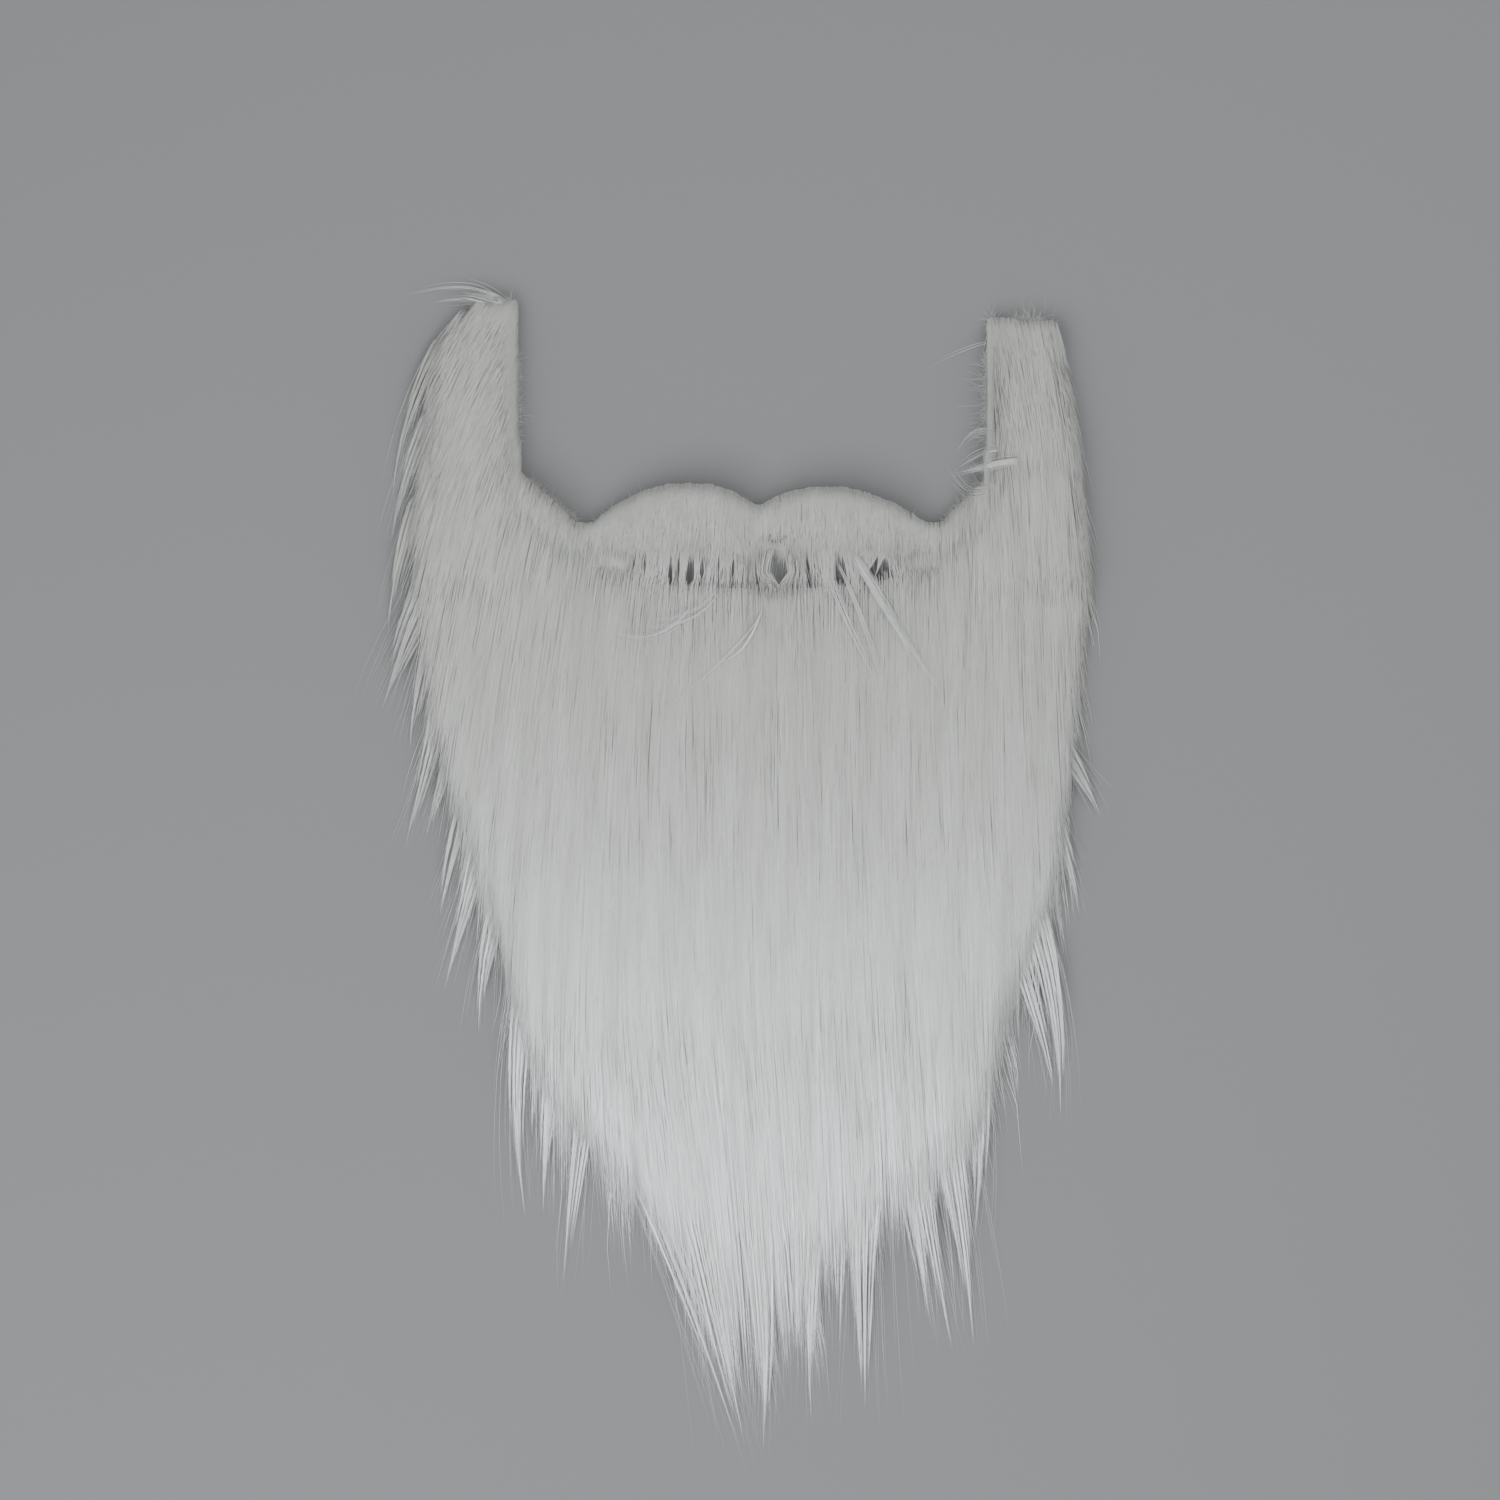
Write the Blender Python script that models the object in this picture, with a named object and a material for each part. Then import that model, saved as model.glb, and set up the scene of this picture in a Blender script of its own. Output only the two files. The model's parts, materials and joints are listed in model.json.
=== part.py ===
"""A fake beard with its moustache: white faux fur on a knitted cloth, lying flat on the cloth's back.

Metres, +Z up out of the fur, +Y towards the tops of the sideburns, +X to the right seen from the fur side.
The origin is on the back of the cloth, in the middle of the upper lip strip above the mouth slit.
"""

import math

import bmesh
import bpy
from mathutils import Matrix, Vector

MM = 0.001

# Driving sizes
CLOTH_THICKNESS = 1.5 * MM
GAP = 0.3 * MM
PILE_BASE = CLOTH_THICKNESS + GAP
PILE_EDGE = 1.2 * MM
SLIT_WIDTH = 90.0 * MM
SLIT_HEIGHT = 14.0 * MM
SLIT_CENTRE = Vector((3.0, -13.2)) * MM
SLIT_POINTS = 28
SLIT_POWER = 3.2

# The pile's rounding: a high power keeps a mat full nearly to its edge
DOME_POWER = 3.0
MOUTH_DIP = 0.82
MOUTH_DIP_REACH = 34.0 * MM
MOUTH_DIP_HALF_WIDTH = 64.0 * MM
RIDGE_HEIGHT = 0.7 * MM
RIDGE_COUNT = 9

# Rows put between the given ones of a mat, on a smooth curve through them
ROW_STEPS = 2

# Locks: flattened tapering tubes that sink from the mat to the table
LOCK_FLATNESS = 0.5
LOCK_TAPER = 0.7
LOCK_POINTS = 7
LOCK_LIFT = 4.2 * MM
LOCK_TIP_RADIUS = 0.5 * MM
LOCK_SINK_POWER = 1.3

# Moustache locks: flatter, nearly as wide at their ends, and level over the mouth slit
FRINGE_HEIGHT = 8.0 * MM
FRINGE_FLATNESS = 0.36
FRINGE_TAPER = 0.3
FRINGE_SAG = 0.6 * MM

# Cloth outline in mm, clockwise seen from the fur side, from the left sideburn's outer top corner
CLOTH_EDGE = (
    # x, y, turn
    (-98.0, 75.2, "corner"),
    (-82.3, 77.5, "corner"),
    (-81.3, 18.7, "corner"),
    (-58.5, -0.7, "corner"),
    (-40.0, 10.4, "round"),
    (-22.8, 13.9, "round"),
    (-8.0, 10.8, "round"),
    (0.0, 6.1, "corner"),
    (9.5, 10.2, "round"),
    (24.8, 12.6, "round"),
    (43.5, 7.8, "round"),
    (60.5, -1.0, "corner"),
    (78.5, 17.0, "corner"),
    (79.2, 71.1, "corner"),
    (101.3, 69.7, "corner"),
    (106.4, 42.5, "round"),
    (110.5, 8.5, "round"),
    (111.9, -25.5, "round"),
    (109.1, -59.5, "round"),
    (104.0, -93.5, "round"),
    (94.5, -127.5, "round"),
    (79.2, -161.5, "round"),
    (52.0, -185.3, "round"),
    (0.0, -199.6, "round"),
    (-51.7, -183.6, "round"),
    (-73.8, -161.5, "round"),
    (-88.5, -127.5, "round"),
    (-99.5, -93.5, "round"),
    (-108.0, -59.5, "round"),
    (-113.0, -25.5, "round"),
    (-112.0, 8.5, "round"),
    (-109.0, 42.5, "round"),
)

# Mats of pile in mm: each row is a section from edge a to edge b, and the pile's height there
SIDEBURN_LEFT = (
    # ax, ay, bx, by, height
    (-98.4, 75.6, -82.0, 77.9, 2.6),
    (-107.2, 68.6, -81.6, 70.4, 6.6),
    (-112.0, 57.4, -81.3, 58.0, 9.6),
    (-113.6, 42.0, -81.0, 42.0, 11.4),
    (-115.4, 26.0, -80.9, 26.0, 12.4),
    (-116.8, 17.5, -79.6, 17.5, 12.8),
    (-118.4, 8.0, -68.5, 8.0, 13.4),
    (-119.4, 0.5, -60.4, 0.5, 13.8),
    (-119.6, -6.5, -48.0, -6.5, 14.2),
    (-119.8, -13.0, -44.2, -13.0, 14.6),
    (-120.4, -21.5, -42.0, -21.5, 15.0),
)
SIDEBURN_RIGHT = (
    # ax, ay, bx, by, height
    (79.0, 71.5, 101.6, 70.1, 2.6),
    (78.8, 64.5, 104.2, 64.5, 6.6),
    (78.5, 54.0, 107.0, 54.0, 9.6),
    (78.2, 40.0, 109.6, 40.0, 11.4),
    (78.0, 25.0, 111.4, 25.0, 12.4),
    (77.0, 15.8, 112.5, 15.8, 12.8),
    (69.2, 8.0, 113.2, 8.0, 13.4),
    (62.2, 0.5, 113.8, 0.5, 13.8),
    (55.0, -6.5, 114.4, -6.5, 14.2),
    (53.4, -13.0, 114.8, -13.0, 14.6),
    (51.4, -21.5, 115.2, -21.5, 15.0),
)
MOUSTACHE_LEFT = (
    # ax, ay, bx, by, height
    (-56.6, -1.0, -57.0, 0.3, 3.4),
    (-52.0, -3.6, -51.6, 4.4, 7.6),
    (-45.5, -5.9, -45.0, 8.9, 9.8),
    (-35.5, -6.0, -35.5, 12.9, 11.6),
    (-23.0, -6.0, -23.0, 15.0, 12.4),
    (-12.0, -6.0, -12.0, 13.3, 11.8),
    (-4.5, -6.0, -4.5, 9.5, 10.0),
    (-0.4, -5.8, -0.4, 6.9, 7.2),
)
MOUSTACHE_RIGHT = (
    # ax, ay, bx, by, height
    (0.4, -5.8, 0.4, 6.9, 7.2),
    (5.2, -6.0, 5.2, 9.5, 10.0),
    (13.0, -6.0, 13.0, 12.3, 11.8),
    (25.0, -6.0, 25.0, 13.7, 12.4),
    (37.0, -6.0, 37.0, 11.5, 11.6),
    (47.0, -5.9, 47.0, 7.5, 9.8),
    (54.0, -4.6, 54.0, 3.5, 7.6),
    (59.0, -1.2, 59.2, 0.0, 3.4),
)
CHIN = (
    # ax, ay, bx, by, height
    (-120.4, -22.0, 115.2, -22.0, 15.0),
    (-118.4, -40.0, 112.8, -40.0, 15.8),
    (-115.6, -58.0, 110.8, -58.0, 16.6),
    (-111.6, -76.0, 109.8, -76.0, 17.6),
    (-106.4, -94.0, 107.4, -94.0, 18.6),
    (-100.3, -111.0, 105.4, -111.0, 19.6),
    (-93.8, -128.0, 100.6, -128.0, 20.6),
    (-88.6, -145.0, 94.2, -145.0, 21.2),
    (-84.8, -162.0, 87.6, -162.0, 21.2),
    (-79.6, -179.0, 84.0, -179.0, 20.2),
    (-69.6, -196.0, 80.8, -196.0, 18.0),
    (-57.6, -210.0, 74.6, -210.0, 14.8),
    (-47.6, -224.0, 60.4, -224.0, 11.4),
    (-38.0, -236.0, 43.0, -236.0, 8.0),
    (-28.0, -248.0, 25.4, -248.0, 4.6),
)

# Locks that leave a mat, in mm: where each starts, bends and ends, and its width where it starts
CHIN_LOCKS = (
    # x0, y0, x1, y1, x2, y2, width
    (-114.5, -28.5, -121.6, -44.5, -128.5, -63.0, 11.0),
    (-110.9, -43.9, -115.8, -60.0, -118.6, -76.0, 6.5),
    (-107.5, -62.0, -113.5, -86.0, -120.4, -110.5, 6.2),
    (-103.5, -76.0, -109.0, -92.0, -113.4, -107.0, 4.4),
    (-98.3, -95.3, -103.9, -113.9, -108.6, -133.6, 6.0),
    (-92.6, -108.9, -100.0, -132.5, -107.4, -159.5, 8.4),
    (-86.6, -128.5, -92.4, -148.9, -95.2, -174.1, 6.6),
    (-79.6, -161.5, -82.0, -198.9, -79.2, -237.0, 8.0),
    (-73.0, -170.3, -75.6, -190.7, -76.8, -209.4, 4.6),
    (-66.0, -172.9, -71.0, -202.9, -73.1, -235.9, 9.2),
    (-56.1, -181.1, -61.2, -214.1, -66.3, -260.8, 9.4),
    (-51.0, -194.1, -30.3, -246.5, -5.1, -316.9, 9.0),
    (-38.8, -201.9, -22.6, -251.6, -5.1, -311.1, 10.6),
    (-22.8, -207.7, -13.6, -262.1, -4.1, -314.5, 16.0),
    (-2.7, -218.7, 2.2, -270.3, 2.2, -316.5, 13.6),
    (11.2, -221.5, 13.6, -254.0, 13.4, -282.8, 17.0),
    (20.7, -224.9, 18.2, -268.3, 18.6, -306.0, 5.4),
    (29.4, -217.5, 28.8, -248.5, 28.2, -281.8, 8.0),
    (37.6, -211.5, 36.9, -255.3, 37.1, -303.9, 13.0),
    (46.9, -203.1, 54.0, -239.7, 59.1, -274.0, 8.2),
    (52.7, -199.7, 60.2, -246.5, 66.9, -282.2, 7.6),
    (61.9, -194.9, 69.8, -239.7, 74.1, -280.8, 11.4),
    (74.3, -186.9, 75.8, -214.5, 74.5, -244.4, 8.2),
    (85.8, -136.0, 95.6, -167.0, 101.6, -193.0, 7.0),
    (93.0, -128.5, 101.8, -164.9, 103.8, -203.9, 10.0),
    (98.7, -98.3, 105.8, -113.3, 110.5, -133.7, 7.0),
    (102.1, -72.3, 111.6, -87.0, 117.8, -99.4, 6.0),
)
SIDEBURN_LEFT_LOCKS = (
    # x0, y0, x1, y1, x2, y2, width
    (-91.0, 73.6, -101.0, 78.6, -113.5, 78.2, 3.4),
    (-108.6, 61.0, -118.4, 38.5, -124.6, 10.0, 6.6),
    (-111.4, 36.0, -119.4, 17.0, -125.2, -6.0, 5.6),
    (-115.4, 8.0, -122.2, -14.0, -126.2, -37.0, 6.2),
)
# The moustache's fringe crosses the mouth slit, with the gaps of the real one between its locks
MOUSTACHE_LEFT_LOCKS = (
    # x0, y0, x1, y1, x2, y2, width
    (-39.2, -3.5, -40.3, -14.0, -41.8, -24.4, 4.8),
    (-33.6, -3.5, -34.2, -14.0, -35.4, -24.8, 5.6),
    (-26.2, -3.5, -26.6, -14.0, -27.8, -25.2, 6.4),
    (-17.4, -3.5, -17.6, -14.0, -18.2, -25.2, 4.0),
    (-9.8, -3.5, -10.4, -14.0, -11.2, -25.6, 8.4),
    (-3.6, -3.5, -2.6, -14.0, -3.0, -25.2, 6.4),
)
MOUSTACHE_RIGHT_LOCKS = (
    # x0, y0, x1, y1, x2, y2, width
    (11.8, -3.5, 12.9, -14.0, 13.6, -25.2, 4.0),
    (18.2, -3.5, 18.9, -14.0, 20.4, -25.6, 6.8),
    (24.0, -3.5, 25.6, -14.0, 27.8, -25.2, 7.2),
    (35.2, -3.5, 37.6, -14.0, 40.2, -24.8, 7.4),
    (44.8, -3.5, 47.0, -14.0, 48.4, -23.6, 5.0),
)

FUR_COLOUR = (0.80, 0.80, 0.78)
CLOTH_COLOUR = (0.78, 0.76, 0.70)


def clear_scene():
    for thing in list(bpy.data.objects):
        bpy.data.objects.remove(thing, do_unlink=True)


def collection(name):
    made = bpy.data.collections.new(name)
    bpy.context.scene.collection.children.link(made)
    return made


def material(name, colour, roughness):
    made = bpy.data.materials.new(name)
    made.use_nodes = True
    shader = made.node_tree.nodes["Principled BSDF"]
    shader.inputs["Base Color"].default_value = (*colour, 1.0)
    shader.inputs["Roughness"].default_value = roughness
    shader.inputs["Metallic"].default_value = 0.0
    return made


def add_object(name, data, group, look=None):
    made = bpy.data.objects.new(name, data)
    group.objects.link(made)
    if look:
        data.materials.append(look)
    return made


def slit_outline():
    """The mouth slit's edge: a long rounded hole."""
    points = []
    for i in range(SLIT_POINTS):
        angle = math.tau * i / SLIT_POINTS
        across, along = math.cos(angle), math.sin(angle)
        x = math.copysign(abs(across) ** (2 / SLIT_POWER), across) * SLIT_WIDTH / 2
        y = math.copysign(abs(along) ** (2 / SLIT_POWER), along) * SLIT_HEIGHT / 2
        points.append(SLIT_CENTRE + Vector((x, y)))
    return points


def add_cloth(group, look):
    """The knitted backing: one flat cut of cloth with the mouth slit through it."""
    curve = bpy.data.curves.new("backing_cloth", "CURVE")
    curve.dimensions = "2D"
    curve.fill_mode = "BOTH"
    curve.extrude = CLOTH_THICKNESS / 2
    curve.resolution_u = 4
    edge = curve.splines.new("BEZIER")
    edge.bezier_points.add(len(CLOTH_EDGE) - 1)
    for point, (x, y, turn) in zip(edge.bezier_points, CLOTH_EDGE):
        point.co = (x * MM, y * MM, 0)
        handle = "VECTOR" if turn == "corner" else "AUTO"
        point.handle_left_type = handle
        point.handle_right_type = handle
    edge.use_cyclic_u = True
    hole = curve.splines.new("POLY")
    outline = slit_outline()
    hole.points.add(len(outline) - 1)
    for point, place in zip(hole.points, outline):
        point.co = (place.x, place.y, 0, 1)
    hole.use_cyclic_u = True
    cloth = add_object("backing_cloth", curve, group, look)
    cloth.location.z = CLOTH_THICKNESS / 2
    return cloth


def dome(share):
    """How full the pile is at a share of the way across a mat, from 0 at its edges to 1."""
    side = abs(2 * share - 1)
    return (1 - min(1.0, side) ** DOME_POWER) ** (1 / DOME_POWER)


def spread(i, count):
    """A share of the way across: even in the middle and closer together at the edges."""
    even = i / count
    return 0.5 * even + 0.25 * (1 - math.cos(math.pi * even))


def mouth_dip(x, y):
    """How much thinner the pile is round the mouth slit, where no hair lies over it from above."""
    across = math.exp(-(((x - SLIT_CENTRE.x) / MOUTH_DIP_HALF_WIDTH) ** 8))
    away = max(0.0, abs(y - SLIT_CENTRE.y) - SLIT_HEIGHT / 2)
    return 1 - MOUTH_DIP * across * math.exp(-away / MOUTH_DIP_REACH)


def combed(share, row_share):
    """The low ridges that combing leaves down the pile; they fade in from the top."""
    return RIDGE_HEIGHT * row_share * math.cos(math.tau * RIDGE_COUNT * share)


def between(before, start, end, after, t):
    """A point between start and end on the smooth curve through all four."""
    return start + t * (
        (end - before) / 2
        + t * ((2 * before - 5 * start + 4 * end - after) / 2 + t * (3 * (start - end) + after - before) / 2)
    )


def refined(rows):
    """The rows with others between them, so that a mat's edges and top run smoothly."""
    made = []
    for n in range(len(rows) - 1):
        four = [rows[min(max(k, 0), len(rows) - 1)] for k in range(n - 1, n + 3)]
        for step in range(ROW_STEPS):
            made.append([between(*values, step / ROW_STEPS) for values in zip(*four)])
    return made + [rows[-1]]


def add_mat(name, rows, across, group, look, ridges=False, dip=False):
    """A mat of pile: a closed loft through its sections, flat below and domed above."""
    mesh = bmesh.new()
    rings = []
    sections = refined(rows)
    for n, (ax, ay, bx, by, height) in enumerate(sections):
        a, b = Vector((ax, ay)) * MM, Vector((bx, by)) * MM
        ring = [mesh.verts.new((a.x, a.y, PILE_BASE))]
        for i in range(across + 1):
            share = spread(i, across)
            place = a.lerp(b, share)
            rise = (height * MM - PILE_EDGE) * dome(share)
            if dip:
                rise *= mouth_dip(place.x, place.y)
            if ridges:
                rise += combed(share, n / (len(sections) - 1)) * dome(share)
            ring.append(mesh.verts.new((place.x, place.y, PILE_BASE + PILE_EDGE + rise)))
        ring.append(mesh.verts.new((b.x, b.y, PILE_BASE)))
        rings.append(ring)
    for first, second in zip(rings, rings[1:]):
        for i in range(len(first)):
            j = (i + 1) % len(first)
            mesh.faces.new((first[i], first[j], second[j], second[i]))
    mesh.faces.new(rings[0])
    mesh.faces.new(list(reversed(rings[-1])))
    bmesh.ops.recalc_face_normals(mesh, faces=mesh.faces)
    data = bpy.data.meshes.new(name)
    mesh.to_mesh(data)
    mesh.free()
    mat = add_object(name, data, group, look)
    data.shade_smooth()
    data.set_sharp_from_angle(angle=math.radians(50))
    return mat


def bend(start, middle, end, t):
    """A point on the smooth curve from start to end that middle pulls on."""
    return start * (1 - t) ** 2 + middle * (2 * t * (1 - t)) + end * t**2


def as_mesh(curve_object, group):
    """The curve as a mesh object with its caps welded; the curve is removed."""
    depsgraph = bpy.context.evaluated_depsgraph_get()
    depsgraph.update()
    data = bpy.data.meshes.new_from_object(curve_object.evaluated_get(depsgraph))
    name, place = curve_object.name, curve_object.matrix_world.copy()
    curve = curve_object.data
    bpy.data.objects.remove(curve_object)
    bpy.data.curves.remove(curve)
    welded = bmesh.new()
    welded.from_mesh(data)
    bmesh.ops.transform(welded, matrix=place, verts=welded.verts)
    bmesh.ops.remove_doubles(welded, verts=welded.verts, dist=0.01 * MM)
    bmesh.ops.recalc_face_normals(welded, faces=welded.faces)
    welded.to_mesh(data)
    welded.free()
    made = bpy.data.objects.new(name, data)
    group.objects.link(made)
    made.matrix_world = Matrix.Identity(4)
    return made


def add_lock(name, row, group, flatness, taper, underside):
    """One lock: a tapering tube, flattened, whose lowest points follow the underside given."""
    x0, y0, x1, y1, x2, y2, width = row
    start, middle, end = (Vector(p) * MM for p in ((x0, y0), (x1, y1), (x2, y2)))
    # The bend's pull is set so that the lock passes through its middle point
    pull = middle * 2 - (start + end) / 2
    curve = bpy.data.curves.new(name, "CURVE")
    curve.dimensions = "3D"
    curve.bevel_depth = MM
    curve.bevel_resolution = 1
    curve.use_fill_caps = True
    spline = curve.splines.new("POLY")
    spline.points.add(LOCK_POINTS - 1)
    for i, point in enumerate(spline.points):
        t = i / (LOCK_POINTS - 1)
        place = bend(start, pull, end, t)
        radius = LOCK_TIP_RADIUS + (width * MM / 2 - LOCK_TIP_RADIUS) * (1 - t) ** taper
        point.co = (place.x, place.y, underside(t) / flatness + radius, 1)
        point.radius = radius / MM
    lock = add_object(name, curve, group)
    lock.scale.z = flatness
    bpy.context.view_layer.update()
    return as_mesh(lock, group)


def sinking(t):
    """A free lock's underside: it leaves the mat above the cloth and comes down to the table."""
    return GAP + LOCK_LIFT * (1 - t) ** LOCK_SINK_POWER


def bridging(t):
    """A moustache lock's underside: over the mouth slit it sags a little."""
    return FRINGE_HEIGHT - FRINGE_SAG * math.sin(math.pi * t)


def fuse_locks(mat, rows, flatness, taper, underside):
    """Fuses a lock for each row into the mat, all in one union."""
    locks = collection(mat.name + "_locks")
    for n, row in enumerate(rows):
        lock = add_lock(f"{mat.name}_lock_{n:02d}", row, locks, flatness, taper, underside)
        lock.hide_render = True
        lock.display_type = "WIRE"
    union = mat.modifiers.new("locks", "BOOLEAN")
    union.operation = "UNION"
    union.operand_type = "COLLECTION"
    union.collection = locks
    union.solver = "EXACT"
    union.use_self = True


def main():
    clear_scene()
    beard = collection("fake_beard")
    cloth_look = material("knitted_cloth", CLOTH_COLOUR, 0.9)
    fur_look = material("white_fur", FUR_COLOUR, 0.6)
    add_cloth(beard, cloth_look)
    chin = add_mat("chin_fur", CHIN, 48, beard, fur_look, ridges=True, dip=True)
    fuse_locks(chin, CHIN_LOCKS, LOCK_FLATNESS, LOCK_TAPER, sinking)
    left = add_mat("sideburn_fur_left", SIDEBURN_LEFT, 14, beard, fur_look, dip=True)
    fuse_locks(left, SIDEBURN_LEFT_LOCKS, LOCK_FLATNESS, LOCK_TAPER, sinking)
    add_mat("sideburn_fur_right", SIDEBURN_RIGHT, 14, beard, fur_look, dip=True)
    for side, rows, locks in (
        ("left", MOUSTACHE_LEFT, MOUSTACHE_LEFT_LOCKS),
        ("right", MOUSTACHE_RIGHT, MOUSTACHE_RIGHT_LOCKS),
    ):
        lobe = add_mat(f"moustache_fur_{side}", rows, 10, beard, fur_look)
        fuse_locks(lobe, locks, FRINGE_FLATNESS, FRINGE_TAPER, bridging)


main()
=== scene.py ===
"""A white faux fur beard with its moustache, laid flat on a plain grey table, fur side up.

The fur is combed from tables of lean and length over the heights of the frame's soft solids.
All tables are in millimetres, and everything that is built is in metres.
"""

import json
import math

import bpy
import numpy as np
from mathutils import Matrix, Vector
from mathutils.bvhtree import BVHTree

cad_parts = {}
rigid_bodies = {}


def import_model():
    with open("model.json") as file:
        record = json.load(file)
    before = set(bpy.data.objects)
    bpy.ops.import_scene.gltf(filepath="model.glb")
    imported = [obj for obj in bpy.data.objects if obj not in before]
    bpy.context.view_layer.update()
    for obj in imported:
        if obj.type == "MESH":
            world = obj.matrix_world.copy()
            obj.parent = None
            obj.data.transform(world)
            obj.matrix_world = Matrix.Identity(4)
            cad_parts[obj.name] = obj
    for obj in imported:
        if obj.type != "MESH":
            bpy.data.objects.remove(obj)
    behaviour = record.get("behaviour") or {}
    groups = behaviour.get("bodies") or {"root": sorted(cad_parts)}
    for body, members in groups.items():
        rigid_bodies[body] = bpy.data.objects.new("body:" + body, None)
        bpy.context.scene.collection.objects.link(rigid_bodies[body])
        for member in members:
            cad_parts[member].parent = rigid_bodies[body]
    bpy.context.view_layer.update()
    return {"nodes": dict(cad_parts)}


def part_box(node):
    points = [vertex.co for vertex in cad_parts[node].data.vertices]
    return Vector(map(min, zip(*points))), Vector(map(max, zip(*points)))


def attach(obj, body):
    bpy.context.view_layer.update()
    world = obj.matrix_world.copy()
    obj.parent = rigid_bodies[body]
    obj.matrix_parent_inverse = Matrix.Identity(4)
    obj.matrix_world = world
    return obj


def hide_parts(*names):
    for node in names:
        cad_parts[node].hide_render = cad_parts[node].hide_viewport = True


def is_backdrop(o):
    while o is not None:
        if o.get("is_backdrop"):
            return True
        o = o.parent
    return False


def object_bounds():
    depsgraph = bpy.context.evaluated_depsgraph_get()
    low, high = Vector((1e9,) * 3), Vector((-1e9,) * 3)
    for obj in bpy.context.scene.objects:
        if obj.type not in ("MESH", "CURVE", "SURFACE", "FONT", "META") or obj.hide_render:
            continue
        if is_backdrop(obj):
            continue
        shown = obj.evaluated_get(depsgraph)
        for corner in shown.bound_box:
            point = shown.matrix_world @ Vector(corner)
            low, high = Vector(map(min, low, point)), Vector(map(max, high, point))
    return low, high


# A millimetre in metres, the cloth's upper face, and the least height of a hair over the table
MM = 0.001
CLOTH_TOP = 1.5
TABLE_CLEARANCE = 0.3

# Every random draw comes from one seeded generator
SEED = 11
rng = np.random.default_rng(SEED)

# The view straight down, framed as in the photograph, in metres but for the sensor's millimetres
CAMERA_HEIGHT = 1.6
VIEW_WIDTH = 0.51
VIEW_CENTRE = (-0.0024, -0.0765)
SENSOR_WIDTH = 36

# Strength of the even light of the room
ROOM_LIGHT = 0.40

# The grid of heights: its step and margin, where pile starts, the floor of the smoothed heights, and
# the slit's top, below which wider gaps are closed
GRID_STEP = 1.0
GRID_MARGIN = 24.0
FUR_EDGE = 2.6
LEAST_HEIGHT = 1.0
SLIT_TOP = 1.0

# Which way the pile leans at places on the beard: sideways travel for each unit downwards
LEAN = np.array((
    # x, y, lean
    (-95.0, 74.0, -0.70),
    (-103.0, 52.0, -0.62),
    (-88.0, 50.0, -0.40),
    (-104.0, 26.0, -0.42),
    (-86.0, 20.0, -0.30),
    (-108.0, 0.0, -0.30),
    (-80.0, -6.0, -0.20),
    (-60.0, -14.0, -0.12),
    (-112.0, -34.0, -0.24),
    (-88.0, -40.0, -0.16),
    (-60.0, -44.0, -0.08),
    (-105.0, -66.0, -0.22),
    (-98.0, -92.0, -0.20),
    (-80.0, -80.0, -0.08),
    (-50.0, -80.0, -0.02),
    (-88.0, -122.0, -0.14),
    (-70.0, -130.0, -0.02),
    (-40.0, -130.0, 0.03),
    (0.0, -40.0, 0.0),
    (0.0, -90.0, 0.01),
    (0.0, -150.0, 0.02),
    (-76.0, -165.0, -0.05),
    (-58.0, -185.0, -0.06),
    (-35.0, -185.0, 0.20),
    (-15.0, -205.0, 0.14),
    (8.0, -205.0, 0.03),
    (30.0, -200.0, 0.02),
    (50.0, -190.0, 0.12),
    (72.0, -180.0, 0.05),
    (88.0, -150.0, -0.02),
    (96.0, -125.0, 0.08),
    (100.0, -90.0, 0.06),
    (60.0, -120.0, 0.04),
    (45.0, -70.0, 0.02),
    (70.0, -50.0, 0.0),
    (102.0, -40.0, 0.03),
    (66.0, -10.0, 0.0),
    (100.0, 0.0, 0.10),
    (82.0, 20.0, 0.02),
    (100.0, 40.0, 0.24),
    (88.0, 60.0, 0.16),
))
LEAN_REACH = 22.0
LEAN_RIPPLE = 0.007

# Length of the pile down the beard
PILE_LENGTH = np.array((
    # y, length
    (-200.0, 100.0),
    (-170.0, 86.0),
    (-130.0, 70.0),
    (-80.0, 58.0),
    (-22.0, 44.0),
    (0.0, 36.0),
    (30.0, 28.0),
    (55.0, 20.0),
    (70.0, 12.0),
    (78.0, 7.0),
))

# Sides of the thick pile, inside the locks that leave it
MAT_EDGE = np.array((
    # y, left x, right x
    (-252.0, -24.0, 22.0),
    (-236.0, -37.0, 42.0),
    (-224.0, -46.0, 59.0),
    (-210.0, -56.0, 73.0),
    (-196.0, -68.0, 79.5),
    (-179.0, -78.0, 82.5),
    (-162.0, -83.0, 86.0),
    (-145.0, -86.0, 92.5),
    (-120.0, -93.0, 102.0),
    (-94.0, -103.0, 106.0),
    (-58.0, -111.5, 109.0),
    (-40.0, -113.0, 111.0),
    (-22.0, -116.0, 113.0),
    (0.0, -117.5, 112.0),
    (25.0, -114.5, 109.5),
    (44.0, -112.2, 107.5),
    (60.0, -111.0, 104.5),
    (66.0, -109.4, 103.0),
    (70.0, -106.4, 102.0),
    (73.0, -103.0, 102.0),
    (76.0, -95.0, 102.0),
))

# How far in from its sides the thick pile shows strands of every depth
SIDE_REACH = 6.0

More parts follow.
